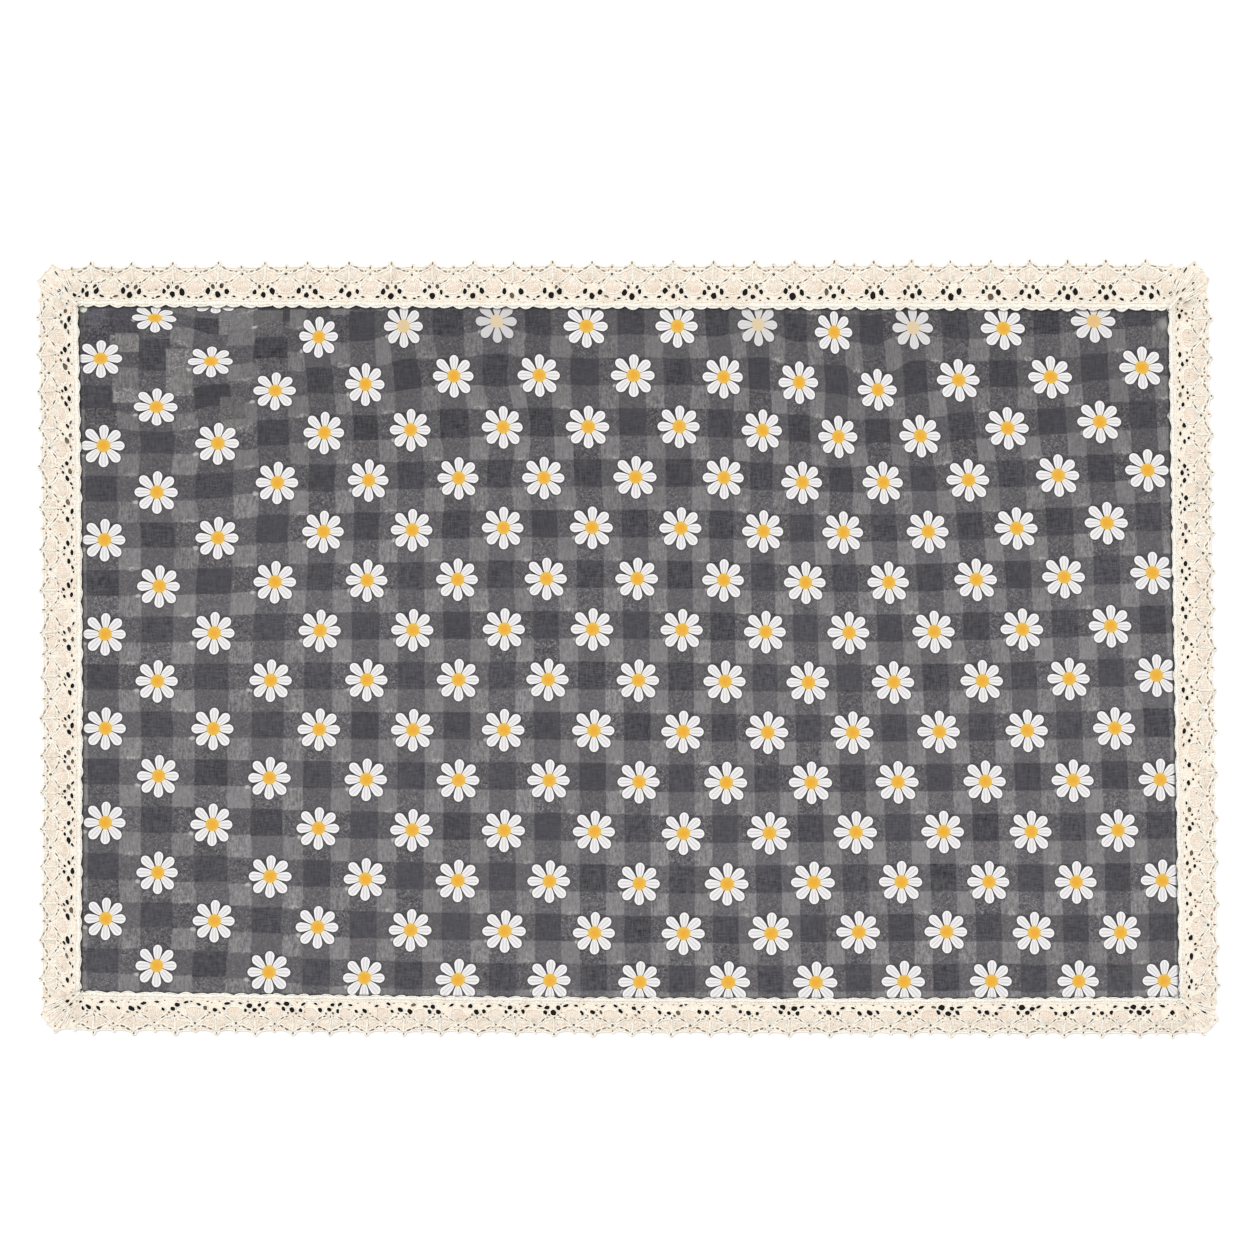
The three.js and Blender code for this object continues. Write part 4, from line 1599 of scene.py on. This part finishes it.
FLOOR_HALF = 6000
FLOOR_LEVEL = -0.1
FLOOR_WHITE = (252, 252, 252)
STUDIO_STRENGTH = 0.78
SUN_STRENGTH = 1.15
SUN_WIDTH = 18
SUN_TURN = (-36, -20, 0)


def make_floor():
    corners = [(-1, -1), (1, -1), (1, 1), (-1, 1)]
    points = np.array([(x * FLOOR_HALF, y * FLOOR_HALF, FLOOR_LEVEL) for x, y in corners], float)
    material = Nodes("floor_white").finish(colour(FLOOR_WHITE), 0.9)
    floor = mesh_object("floor", points, [(0, 1, 2, 3)], material)


def make_light():
    world = bpy.data.worlds.new("studio")
    world.use_nodes = True
    background = world.node_tree.nodes["Background"]
    background.inputs["Color"].default_value = (1.0, 1.0, 1.0, 1.0)
    background.inputs["Strength"].default_value = STUDIO_STRENGTH
    bpy.context.scene.world = world
    sun = bpy.data.lights.new("key", "SUN")
    sun.energy = SUN_STRENGTH
    sun.angle = math.radians(SUN_WIDTH)
    lamp = bpy.data.objects.new("key", sun)
    lamp.rotation_euler = [math.radians(turn) for turn in SUN_TURN]
    bpy.context.collection.objects.link(lamp)


def make_camera(shift):
    camera = bpy.data.cameras.new("camera")
    camera.lens = CAMERA_LENS
    camera.sensor_width = CAMERA_SENSOR
    camera.clip_end = 50
    holder = bpy.data.objects.new("camera", camera)
    x, y = (shift + CAMERA_AT) * MM
    holder.location = (x, y, FRAME_WIDTH * MM * CAMERA_LENS / CAMERA_SENSOR)
    bpy.context.collection.objects.link(holder)
    bpy.context.scene.camera = holder


def declare(piece, node):
    """Says which body a piece rides on, and which of its solids it stands for."""
    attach(piece, "root")
    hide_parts(node)


def main():
    bpy.context.scene.view_settings.view_transform = "Standard"
    sides = lay_out_sides()
    shift = frame_shift(sides)
    panel = make_panel(sides, shift, check_cloth())
    declare(panel, "panel")
    cotton = lace_cotton()
    rng = np.random.default_rng(7)
    laces = [make_lace(side, after, shift, cotton, rng)
             for side, after in zip(sides, sides[1:] + sides[:1])]
    for side, piece in zip(sides, laces):
        declare(piece, side["name"])
    make_floor()
    make_light()
    make_camera(shift)


main()
